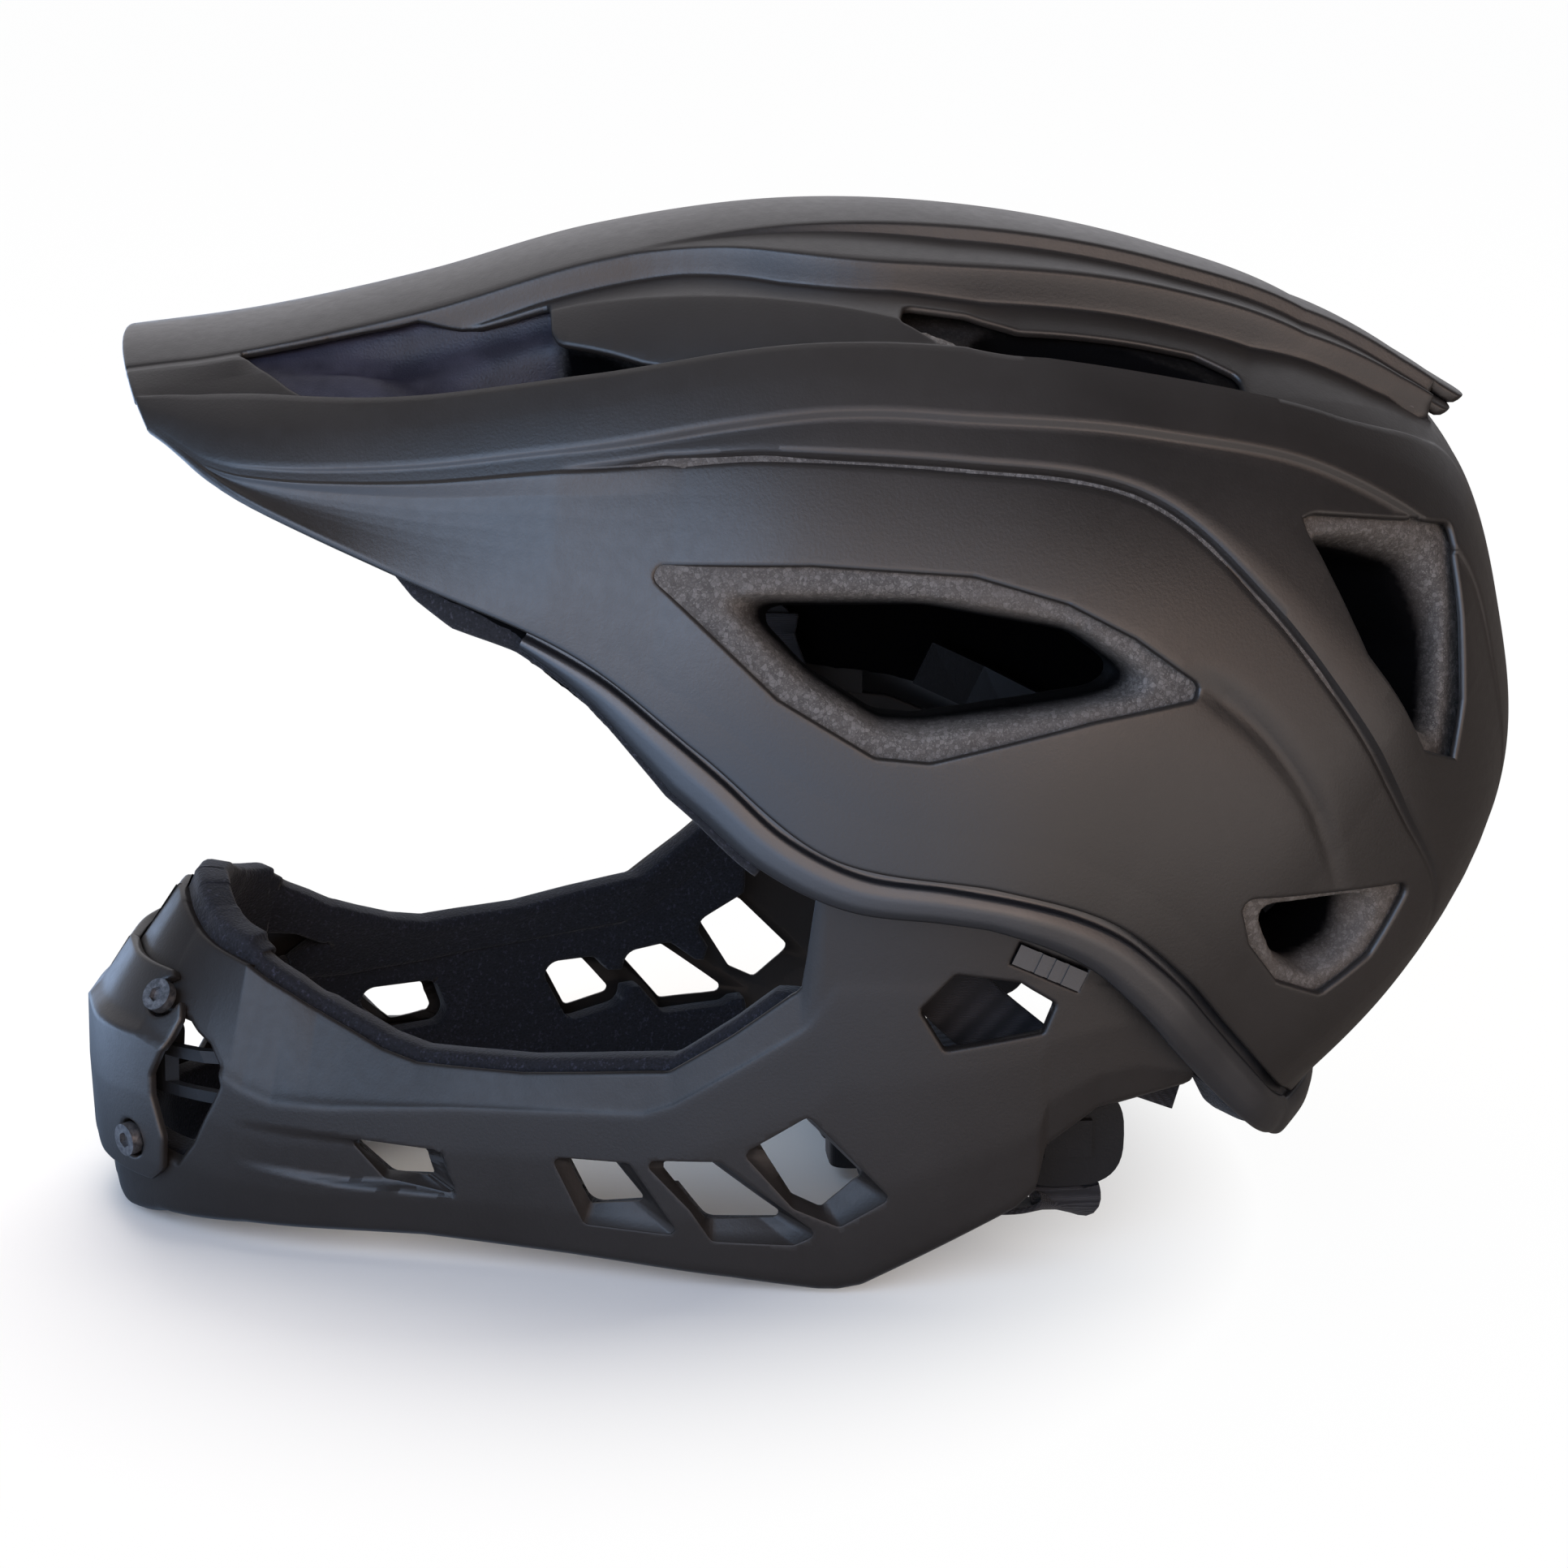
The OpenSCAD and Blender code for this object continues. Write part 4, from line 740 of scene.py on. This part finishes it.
# The floor of the front vents is smoothed between the edges' ends
front_floor = np.clip((-50 - half_p[:, 1]) / 3, 0, 1)
front_floor = front_floor * (half_p[:, 2] > 165) * (depth < 18) * (half_p[:, 0] < 62)
ends = values_of(foam.data.edges, "vertices", 2, int)
ends = np.vstack([ends, ends[:, ::-1]])
count = np.maximum(np.bincount(ends[:, 0], minlength=len(half_p)), 1)[:, None]
for _ in range(FRONT_PASSES):
    total = np.stack([np.bincount(ends[:, 0], half_p[ends[:, 1], c], len(half_p)) for c in range(3)], 1)
    half_p = mix(half_p, total / count, 0.5 * (front_floor > 0.5)[:, None])
foam.data.vertices.foreach_set("co", metres(half_p * side).ravel())
# painted shade: foam more than about 6.5 mm deep goes near black, except on the front vents' floor; the
# foam's lower hem is made near black too
hem = grid_t[nearest] > 0.965
dark = np.maximum(np.clip((depth - 6.5) / 5, 0, 1) * (1 - front_floor), hem)
for key, values in (("deep", dark), ("floor", front_floor)):
    foam.data.attributes.new(key, "FLOAT", "POINT").data.foreach_set("value", values.astype(np.float32))
foam.data.update()


# Lower edge: trim and cloth-covered skirts
coarse = [section(np.array([k]), np.array([1.0]))[0] for k in np.arange(1.7, 11.9, 0.5)]
coarse += [section(np.array([12.0]), np.array([t]))[0] for t in (1, 0.75, 0.5, 0.25, 0)]
coarse = coarse + [np.array([-p[0], p[1], p[2]]) for p in coarse[-2::-1]]
LAST = len(coarse) - 1


def rounded_profile(pts, r):
    """Closed profile whose corners are turned into short curves."""
    p = np.asarray(pts, float)
    res = []
    for i in range(len(p)):
        a, b, c = p[i - 1], p[i], p[(i + 1) % len(p)]
        la, lc = np.linalg.norm(a - b), np.linalg.norm(c - b)
        s, e = b + (a - b) * min(r / la, 0.45), b + (c - b) * min(r / lc, 0.45)
        for t in np.linspace(0, 1, 4):
            res.append((1 - t) ** 2 * s + 2 * t * (1 - t) * b + t * t * e)
    return np.array(res)


def edge_sweep(i0, i1, n, profile, r):
    """Tube along the shell's lower edge, whose profile depends on the place from front to rear."""
    i = np.linspace(i0, i1, n)
    p = spline(coarse, i)
    along = unit(spline(coarse, np.minimum(i + 0.8, LAST)) - spline(coarse, np.maximum(i - 0.8, 0)))
    out = unit(np.cross(along, [0, 0, 1]))
    down = np.cross(along, out)
    rings = []
    for j in range(n):
        q = rounded_profile(profile(p[j][1]), r)
        rings.append(p[j] + out[j] * q[:, :1] + down[j] * q[:, 1:])
    return tube(rings)


TRIM_GAP, TRIM_H, TRIM_THK, TRIM_UP = 1.6, 8, 3.6, 2.6
trim_taper = [[-66, 0.25], [-28, 1.1], [30, 0.85], [75, 1.2], [100, 1]]


def trim_profile(y):
    h, tongue = TRIM_H * lookup(y, trim_taper), -SHELL_THK - 0.5
    return [[-TRIM_THK, -TRIM_UP], [-TRIM_THK, TRIM_GAP + h], [-1.8, TRIM_GAP + h],
            [-0.5, TRIM_GAP + h * 0.75], [0.2, TRIM_GAP + h * 0.35], [-0.6, TRIM_GAP],
            [tongue, TRIM_GAP], [tongue, -TRIM_UP]]


v, f = edge_sweep(2, LAST - 2, 520, trim_profile, 0.8)
build("trim_band", v, f, TRIM, "helmet", "trim", ["lower_trim"], sharp=55)

skirt_depth = [
    [-88, 1], [-82, 4.5], [-74, 6.8], [-62, 6.2], [-50, 8], [-28, 12.5], [0, 12], [70, 9], [100, 8]]
skirt_back = [[-90, 3.2], [-70, 3.2], [-60, TRIM_THK + 0.3], [120, TRIM_THK + 0.3]]


def skirt_profile(y):
    deep, out = lookup(y, skirt_depth) + 0.2, -lookup(y, skirt_back) + 0.15
    return [[-15.3, -2], [-15.3, deep - 2], [-8, deep], [out - 1, deep], [out, deep - 1], [out, -2]]


for name, i0, i1, n in (("brow_edge_left", 0.1, 6, 90), ("brow_edge_right", LAST - 6, LAST - 0.1, 160),
                        ("nape_edge", 16, LAST - 16, 160)):
    v, f = edge_sweep(i0, i1, n, skirt_profile, 1.6)
    build(name, v, f, EDGE, "helmet", "fabric")

# Chin guard
guard_plan = [
    [0, -152.6], [16, -149.4], [29.5, -141.5], [40, -129], [47.5, -114], [53.5, -96], [60.5, -74],
    [68.5, -50], [76, -26], [80.5, 0], [82.5, 25], [81.5, 50], [77, 74]]
guard_foot = [
    [-152.6, 0], [-149, 0], [-142, 3], [-123, 5], [-85, 6], [-55, 4.5], [-22, 2], [-4, 0], [0, 0], [5, 1],
    [20, 8.5], [37, 17], [41, 20.5], [43, 30], [54, 37.5], [74, 41]]
guard_crease = [
    [-152.6, 45], [-141, 46], [-130, 42], [-121, 37], [-115, 35], [-103, 35], [-77, 37], [-39, 38.5],
    [-33, 41], [-5, 59], [-2, 63], [0, 66], [74, 66]]
guard_top = [
    [-152.6, 70], [-150, 69], [-142, 65.5], [-134, 63.5], [-124, 61.5], [-119, 58.5], [-108, 53],
    [-101, 50], [-94, 47], [-86, 45], [-64, 45], [-49, 46.5], [-34, 48], [-21, 56.5], [-7, 67], [-3, 92],
    [30, 87.5], [50, 79], [62, 69.5], [74, 57]]
guard_lean = [
    [-152.6, 1.75], [-150, 1.7], [-142, 1.5], [-134, 1.25], [-124, 1], [-108, 1], [-101, 0.85],
    [-94, 0.65], [-86, 0.5], [-78, 0.4], [-64, 0.32], [-49, 0.2], [-7, 0.15], [-3, 0], [74, 0]]
GUARD_WALL, RIM_INSET = 3, 10


def guard_at(k, z, out):
    """Points at place k along guard_plan, at height z and a distance out from it."""
    p, run = spline(guard_plan, k), unit(spline(guard_plan, k + 0.05) - spline(guard_plan, k - 0.05))
    side = np.stack([run[:, 1], -run[:, 0]], 1)
    side[k <= 0] = (0, -1)
    return np.stack([np.maximum(p[:, 0] + side[:, 0] * out, 0), p[:, 1] + side[:, 1] * out, z], 1)


def guard_profile(k):
    """Rows of [z, distance outward] for each k, from the foot to the upper rim."""
    y = spline(guard_plan, k)[:, 1]
    foot, top, lean = lookup(y, guard_foot), lookup(y, guard_top), RIM_INSET * lookup(y, guard_lean)
    crease = np.minimum(lookup(y, guard_crease), top - 3)
    one = np.ones_like(y)
    z = [foot, foot + 2.5, mix(foot, crease, 0.35), mix(foot, crease, 0.7), crease,
         mix(crease, top, 0.12), top]
    d = [-4.5 * one, -1.6 * one, -0.2 * one, 0.3 * one, 0 * one, -lean * 0.16 - 0.2, -lean]
    return np.stack([np.stack(z, 1), np.stack(d, 1)], 2)


def bulge(k, z):
    """Distance outward of the guard's face at each k and height."""
    p = guard_profile(k)
    return np.array([np.interp(z[i], p[i, :, 0], p[i, :, 1]) for i in range(len(z))])


def strips(p, spans):
    """Rows through a profile, evenly spread within each of its parts."""
    rows = [p[:, 0]]
    for j, n in enumerate(spans):
        rows += [mix(p[:, j], p[:, j + 1], s / n) for s in range(1, n + 1)]
    return np.stack(rows, 0)


def ease(rows, passes):
    """Smooths each row with its neighbours, in place."""
    for _ in range(passes):
        rows[1:-1] = (rows[:-2] + 2 * rows[1:-1] + rows[2:]) / 4


def half_sheet(pts, cols, probe, outward):
    """Rows of [x y z nx ny nz] and faces, with the normals on the side that the probed point shows."""
    q = grid_faces(len(pts) // cols, cols)
    n = vertex_normals(pts, q)
    if n[probe] @ np.array(outward) < 0:
        q, n = q[:, ::-1], -n
    n[np.abs(pts[:, 0]) < 1e-4, 0] = 0
    return np.hstack([pts, unit(n)]), [tuple(c) for c in q.tolist()]


def wall_sheet(rows, k):
    """Half sheet along the guard through rows of [height, distance outward]."""
    pts = np.vstack([guard_at(k, r[:, 0], r[:, 1]) for r in rows])
    return half_sheet(pts, len(k), len(pts) // 2 + len(k) // 2, (1, -0.3, 0))


gk = steps([(0, 2.2, 50), (2.2, 6.2, 180), (6.2, 10.3, 110), (10.3, 11.2, 44), (11.2, 11.97, 22)])
prof = guard_profile(gk)
prof[:, 0, 0] += ROLL
prof[:, 6, 0] -= ROLL
rows = strips(prof, [4, 14, 16, 13, 5, 15])
ease(rows, 2)
guard, guard_f = wall_sheet(rows, gk)
# Each point also holds its way along the guard from the middle of the front
way = np.concatenate([[0], np.cumsum(np.linalg.norm(np.diff(spline(guard_plan, gk), axis=0), axis=1))])
guard = np.hstack([guard, np.tile(way, len(rows))[:, None]])
# Recess that deepens toward the rear round the slot
slot_recess = [[53, 31], [79, 29.2], [101.5, 27.3], [104.2, 17.6], [79, 17.8], [53, 20.8]]
RECESS_DEPTH = 2.6
within = -signed(guard[:, [6, 2]], slot_recess)
sink = RECESS_DEPTH * np.clip((guard[:, 6] - 55) / 44, 0, 1) * np.clip(within / 1.5, 0, 1)
guard[:, :3] -= guard[:, 3:6] * sink[:, None]

guard_vents = [
    [[-55.5, 27], [-42.5, 27], [-34, 14.3], [-50, 15]],
    [[-36.5, 28], [-24, 28.5], [-6, 14.5], [-9, 13], [-24.5, 13.3], [-28.5, 19.5]],
    [[-17, 31.5], [-6, 38.5], [9, 22.5], [0.5, 17.3], [-8, 21]],
    [[-96.5, 27.5], [-81.5, 26.5], [-78.5, 19.5], [-91, 21]]]
guard_holes = [
    [[-52.5, 27], [-45.5, 27], [-40, 20], [-48.5, 18.5]],
    [[-33.5, 27.2], [-26, 28], [-12.5, 17.5], [-25.5, 17]],
    [[-14.5, 34], [-7, 38], [4, 26.5], [-3, 20.5], [-8, 23]],
    [[-95.5, 26.5], [-84, 26.5], [-82.5, 21.8], [-90, 21.5]]]
ear_window = [[17.5, 62.5], [24, 69], [36.5, 67], [43, 62.8], [41, 58], [22, 55]]
front_opening = [
    [-2, 47], [20, 48], [38, 49], [41.5, 48.5], [44, 46.8], [48, 44.8], [51.3, 41], [51.7, 37.3],
    [50, 34], [47.3, 29.3], [44.4, 24], [40, 18.8], [36, 19.5], [20, 22], [-2, 24]]
CORNER, VENT_LIP = 1.2, 0.4
LATCH_Y, LATCH_Z, LATCH_TILT = 42.5, 71, math.radians(-25)
LATCH_HALF, LATCH_PLAY = (7.5, 2.2), 0.6


def latch_outline():
    """Corners of the latch's slot, as seen from the side."""
    c, s = math.cos(LATCH_TILT), math.sin(LATCH_TILT)
    a, b = LATCH_HALF[0] + LATCH_PLAY, LATCH_HALF[1] + LATCH_PLAY
    half = [(a, b), (-a, b), (-a, -b), (a, -b)]
    return [[LATCH_Y + a * c - b * s, LATCH_Z + a * s + b * c] for a, b in half]


def cut_side(data, faces, outline, grow):
    """Cuts an outline that is seen from the side through the guard's side."""
    return clip(data, faces, np.where(data[:, 0] > 20, signed(data[:, 1:3], outline, grow), FAR))


def cut_front(data, faces, across, outline, grow):
    """Cuts an outline through the guard's front. across names the column of its first number."""
    return clip(data, faces, np.where(data[:, 1] < -95, signed(data[:, [across, 2]], outline, grow), FAR))


cuts = [(o, CORNER + VENT_LIP) for o in guard_vents] + [(ear_window, CORNER + 0.5), (latch_outline(), 0.3)]
for outline, grow in cuts:
    guard, guard_f = cut_side(guard, guard_f, outline, grow)
guard, guard_f = cut_front(guard, guard_f, 6, front_opening, 1 + ROLL)


def guard_rings(p, n, away):
    """Vent loops slope from the outline on the face to the smaller hole behind it."""
    c = p.mean(0)
    if abs(c[0]) < 20 and c[1] < -100 and np.ptp(p[:, 2]) < 60 and np.ptp(p[:, 1]) < 60:
        return [p + away * 0.5 - n * 0.1, p + away * 1.1 - n * 0.6, p + away * 1.4 - n * 1.4,
                p + away * 1.4 - n * GUARD_WALL]
    side = 1 if c[0] > 0 else -1
    for hole, outline in zip(guard_holes, guard_vents):
        if np.linalg.norm(c[1:] - np.mean(outline, 0)) < 5 and abs(c[0]) > 20 and np.ptp(p[:, 1]) < 60:
            ring = rounded(hole, CORNER)
            mid = ring.mean(0)
            turns = np.arctan2(ring[:, 1] - mid[1], ring[:, 0] - mid[0])
            th = np.arctan2(p[:, 2] - mid[1], p[:, 1] - mid[0])
            rr = np.interp(th, turns, np.hypot(*(ring - mid).T), period=2 * math.pi)
            inner = p.copy()
            inner[:, 1], inner[:, 2] = mid[0] + rr * np.cos(th), mid[1] + rr * np.sin(th)
            inner[:, 0] = p[:, 0] + (inner[:, 1] - p[:, 1]) * side * 0.27 - side * 3.2
            lip = p + away * 0.3 - n * 0.12
            lip2 = p + away * VENT_LIP - n * 0.4
            return [lip, lip2, mix(lip2, inner, 0.5), inner, inner - [side * 0.6, 0, 0]]
    return None


from_half("guard_body", guard, guard_f, GUARD_WALL, ROLL, GUARD, "guard", "guard", ["chin_guard"],
          special=guard_rings, sharp=42)

# Tabs that plug up behind the trim
TAB_HALF = 1.1
for side, word in ((-1, "right"), (1, "left")):
    x = spline(guard_plan, 9.7)[0][0] - GUARD_WALL + 1.5
    tab = rounded_profile([[10, 86], [24, 86], [24, 97.5], [22, 99], [12, 99], [10, 97.5]], 0.8)
    v, f = tube([np.stack([np.full(len(tab), side * (x + d)), tab[:, 0], tab[:, 1]], 1)
                 for d in (-TAB_HALF, TAB_HALF)])
    build("guard_tab_" + word, v, f, GUARD, "guard", "guard", ["chin_guard"], sharp=40)

# Lining inside the guard
LINING_THK, LINING_ROLL, LINING_GAP = 7.3, 2.2, 0.6
lk = np.linspace(0, 8.66, 200)


def lining_profile(k, trim_by):
    """Heights of the lining's rows for each k, from its foot to its lip."""
    p = guard_profile(k)
    top = np.where(k > 6, np.minimum(p[:, 6, 0], 63), p[:, 6, 0])
    lip = top + lookup(k, [[3.1, 3.5], [3.3, 1.5]])
    z = np.stack([p[:, 0, 0] + 1 + trim_by, p[:, 2, 0], p[:, 3, 0], p[:, 4, 0], p[:, 5, 0],
                  lip - trim_by], 1)
    for j in range(1, 6):
        z[:, j] = np.maximum(z[:, j], z[:, j - 1] + 0.5)
    z[:, 4] = np.minimum(z[:, 4], z[:, 5] - 0.5)
    return z


lining_z = strips(lining_profile(lk, LINING_ROLL), [10, 10, 8, 4, 9])
rows = np.stack([np.stack([z, bulge(lk, z) - GUARD_WALL - LINING_GAP], 1) for z in lining_z], 0)
ease(rows[:, :, 1], 3)
lining, lining_f = wall_sheet(rows, lk)
lining[:, 3:6] = unit(lining[:, 3:6] * [1, 1, 0.25])
for hole in guard_holes:
    lining, lining_f = cut_side(lining, lining_f, hole, CORNER + 2 + LINING_ROLL)
open_half = [[34, 47], [37.5, 43], [37.5, 32], [33.5, 21]]
open_full = open_half + [[-x, z] for x, z in open_half[::-1]]
lining, lining_f = cut_front(lining, lining_f, 0, open_full, 2 + LINING_ROLL)
from_half("lining_pad", lining, lining_f, LINING_THK, LINING_ROLL, PAD, "guard", "fabric",
                    ["chin_lining"])

# Front cover
cover_waist = [
    [13.5, .82], [17, .92], [24, .94], [33, .88], [38, .88], [45, .97], [50, 1], [54, .96], [58.5, .8]]
COVER_GAP, COVER_THK, COVER_ROLL, REACH = 0.45, 2.2, 0.8, 2.62
SCREW_HOLE = 4.1
screw_places = [(1.82, 21.8), (2.15, 51.8)]  # place along guard_plan, height
cj = np.linspace(0, 0.97, 64)
pts = []
for z in np.linspace(cover_waist[0][0] + COVER_ROLL, cover_waist[-1][0] - COVER_ROLL, 62):
    k = REACH * lookup(z, cover_waist) * cj
    zz = np.full(len(k), z)
    pts.append(guard_at(k, zz, bulge(k, zz) + COVER_GAP + COVER_THK))
pts = np.vstack(pts)
cover, cover_f = half_sheet(pts, len(cj), len(pts) // 2, (0, -1, 0))


def wall_point(k, z):
    k, z = np.array([k]), np.array([z])
    return guard_at(k, z, bulge(k, z))[0]


for k, z in screw_places:
    along = wall_point(k + 0.05, z) - wall_point(k - 0.05, z)
    axis = unit(np.cross(along, wall_point(k, z + 1.5) - wall_point(k, z - 1.5)))
    axis = axis if axis[1] < 0 else -axis
    w = cover[:, :3] - wall_point(k, z)
    dist = np.linalg.norm(w - np.outer(w @ axis, axis), axis=1) - SCREW_HOLE - COVER_ROLL
    dist[(w @ axis) < -20] = FAR
    cover, cover_f = clip(cover, cover_f, dist)
from_half("cover_plate", cover, cover_f, COVER_THK, COVER_ROLL, COVER, "guard", "guard", ["chin_cover"],
          sharp=45)


# Straps
def ribbon(points, n, wide, thk, lie):
    """Woven strap along a smooth curve: flat, with rolled edges."""
    idx = np.linspace(0, len(points) - 1, n)
    p = spline(points, idx)
    ahead = spline(points, np.minimum(idx + 0.1, len(points) - 1)) - spline(points, np.maximum(idx - 0.1, 0))
    along = unit(ahead)
    w = unit(lie - along * (along @ lie)[:, None])
    nrm = np.cross(along, w)
    face = [[wide * share, thk / 2] for share in (1 / 2, 1 / 6, -1 / 6, -1 / 2)]
    prof = rounded_profile(face + [[-a, -b] for a, b in face], 0.55)
    return tube([p[i] + w[i] * prof[:, :1] + nrm[i] * prof[:, 1:] for i in range(n)])


STRAP_W, STRAP_THK = 15, 1.4
s_in = STRAP_THK / 2 + 0.25
front_line = [[69.2 - s_in, 0, 111], [69.2 - s_in, 0, 102], [67, 10, 80], [65, 26, 60], [62.5, 42, 45]]
rear_line = [[54.5 - s_in, 75, 64], [54.5 - s_in, 71, 55], [58, 70, 46], [62, 66, 35]]
chin_line = [[30, 18, 8], [38, 19, 8], [51, 32, 9], [60, 49, 11], [62, 50, 16.1]]
for side, word, buckle_x in ((1, "left", 13), (-1, "right", 18.4)):
    for part, line, lie, n in (("front", front_line, [0, 0.7, 0.7], 48),
                               ("rear", rear_line, [0, -0.6, 0.8], 40),
                               ("chin", [[buckle_x, 18, 8]] + chin_line, [0, 1, 0], 60)):
        line = [[side * a, b, c] for a, b, c in line]
        v, f = ribbon(line, n, STRAP_W - 0.1, STRAP_THK - 0.1, lie)
        build(part + "_web_" + word, v, f, WEB, "helmet", "webbing", [part + "_strap_" + word])


# Padded fabric
PILLOW_VOXEL, PILLOW_SHRINK, PUFF_MOST = 0.0026, 0.0004, 0.0016
PUFF_FRAMES = 14


def pillow(name, node, body):
    """Sewn pad: its solid remeshed, puffed by a cloth simulation and held within its place."""
    o = remeshed(name, node, PILLOW_VOXEL, 2, PAD, body)
    me = o.data
    rest = values_of(me.vertices, "co") - values_of(me.vertices, "normal") * PILLOW_SHRINK
    me.vertices.foreach_set("co", rest.ravel())
    m = o.modifiers.new("puff", "CLOTH")
    s = m.settings
    s.quality, s.mass, s.use_pressure, s.uniform_pressure_force = 5, 0.3, True, 4
    s.tension_stiffness = s.compression_stiffness = 25
    s.effector_weights.gravity = 0
    m.collision_settings.use_collision = False
    m.point_cache.frame_start, m.point_cache.frame_end = 1, PUFF_FRAMES
    for frame_number in range(1, PUFF_FRAMES + 1):
        scene.frame_set(frame_number)
    puffed = o.evaluated_get(bpy.context.evaluated_depsgraph_get())
    move = values_of(puffed.data.vertices, "co") - rest
    o.modifiers.clear()
    scene.frame_set(1)
    size = np.linalg.norm(move, axis=1, keepdims=True)
    rest = rest + move * np.minimum(1, PUFF_MOST / np.maximum(size, 1e-9))
    me.vertices.foreach_set("co", rest.ravel())
    me.update()
    sub = o.modifiers.new("fine", "SUBSURF")
    sub.levels = sub.render_levels = 1
    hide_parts(node)


for name, node, body in (("brow_pillow", "brow_pad", "helmet"), ("crown_pillow", "crown_pad", "helmet"),
                         ("temple_pillow_left", "side_pad_left", "helmet"),
                         ("temple_pillow_right", "side_pad_right", "helmet"),
                         ("nape_pillow", "nape_pad", "cradle")):
    pillow(name, node, body)

# Materials of the CAD nodes that stay
fittings = ["cradle_anchor", "cradle_yoke", "dial_housing", "housing_cover", "fit_dial", "dial_pinion",
            "headband_left", "headband_right", "strap_anchors", "strap_divider_left",
            "strap_divider_right", "buckle_socket", "buckle_plug", "chin_grille"]
for mat, names in ((FITTING, fittings), (STEEL, ["cover_screws", "latch_springs"]),
                   (TRIM, ["latch_button_left", "latch_button_right"])):
    for name in names:
        slots = nodes[name].data.materials
        slots.clear()
        slots.append(mat)

# Floor, white to the camera and pale round the helmet
floor = material("floor")
path = floor.add("LightPath").outputs
seen = floor.math("MAXIMUM", path["Is Camera Ray"], path["Is Glossy Ray"])
seen = floor.math("MAXIMUM", seen, path["Is Transmission Ray"])
glow = floor.add("Emission", Color=(1, 1, 1, 1), Strength=1.0).outputs[0]
matt = floor.add("BsdfDiffuse", Color=(0.86, 0.81, 0.74, 1)).outputs[0]
# The glow leaves the ground under and close to the helmet, so its shadow stays
NEAR_X, NEAR_Y, NEAR_SHIFT = 0.13, 0.12, 0.6
near = floor.add("Mapping", Vector=floor.place, Location=(0.0, NEAR_SHIFT, 0.0),
                 Scale=(1 / NEAR_X, 1 / NEAR_Y, 1))
reach = floor.add("VectorMath", operation="LENGTH", Vector=near.outputs[0]).outputs["Value"]
share = floor.span(reach, 0.7, 1.45, 0.0, 0.97)
ground_shader = floor.blend(floor.math("MULTIPLY", seen, share), matt, glow)
# Painted reflection: to glossy rays the floor glows like a light, cool toward the front, strong away from the
# helmet and dim close by
spot = floor.add("SeparateXYZ", Vector=floor.place).outputs
tint = floor.mix(floor.span(spot["Y"], -0.16, 0.1, 0, 1), (0.50, 0.68, 1.0), (0.52, 0.46, 0.43))
reflection_glow = floor.math("MAXIMUM", floor.span(spot["X"], 0.12, 0.26, 0.35, 3.0),
                    floor.span(spot["Y"], -0.3, -0.2, 3.4, 0.35))
# painted reflection: an emission that only glossy rays see
painted_reflection = floor.add("Emission", Color=tint, Strength=reflection_glow).outputs[0]
floor.put(floor.tree.nodes["Material Output"].inputs["Surface"],
          floor.blend(path["Is Glossy Ray"], ground_shader, painted_reflection))
FLOOR_HALF = 30
me = bpy.data.meshes.new("floor")
me.from_pydata([(a * FLOOR_HALF, b * FLOOR_HALF, 0) for a, b in ((-1, -1), (1, -1), (1, 1), (-1, 1))], [],
               [(0, 1, 2, 3)])
ground = bpy.data.objects.new("floor", me)
me.materials.append(floor.owner)
scene.collection.objects.link(ground)

# World: soft patches of light in a few directions, and plain white for the camera
sky = Nodes(bpy.data.worlds.new("studio"), "Generated")
scene.world = sky.owner
light = (0.07, 0.07, 0.075)
for direction, lo, hi, colour in (((0.97, -0.05, 0.16), 0.62, 0.97, (2.15, 1.78, 1.62)),
                                  ((-0.9, -0.05, 0.45), 0.5, 0.95, (0.8, 0.79, 0.83)),
                                  ((0.35, -0.94, 0.0), 0.6, 0.98, (0.3, 0.42, 0.62)),
                                  ((0.72, -0.5, 0.48), 0.84, 0.99, (2.1, 3.3, 5.1)),
                                  ((0.8, 0.6, 0.0), 0.8, 0.99, (1.9, 1.4, 1.15))):
    dot = sky.add("VectorMath", operation="DOT_PRODUCT", Vector=sky.place)
    dot.inputs[1].default_value = Vector(direction).normalized()
    patch = sky.add("MapRange", interpolation_type="SMOOTHSTEP", Value=dot.outputs["Value"],
                    From_Min=lo, From_Max=hi)
    light = sky.mix(patch.outputs["Result"], light, colour, "ADD")
light = sky.mix(sky.add("LightPath").outputs["Is Camera Ray"], light, (1, 1, 1))
sky.put(sky.tree.nodes["Background"].inputs["Color"], light)

# One wide lamp overhead, which reflections don't show
LAMP_AT, LAMP_AIM = Vector((-0.45, 0.05, 1.5)), Vector((0, 0, 0.05))
lamp = bpy.data.lights.new("back", "AREA")
lamp.shape, lamp.size, lamp.size_y = "RECTANGLE", 1.5, 1.5
lamp.energy, lamp.color = 26, (1.0, 0.985, 0.97)
holder = bpy.data.objects.new("back", lamp)
holder.location = LAMP_AT
holder.rotation_euler = (LAMP_AIM - LAMP_AT).to_track_quat("-Z", "Y").to_euler()
holder.visible_glossy = False
scene.collection.objects.link(holder)
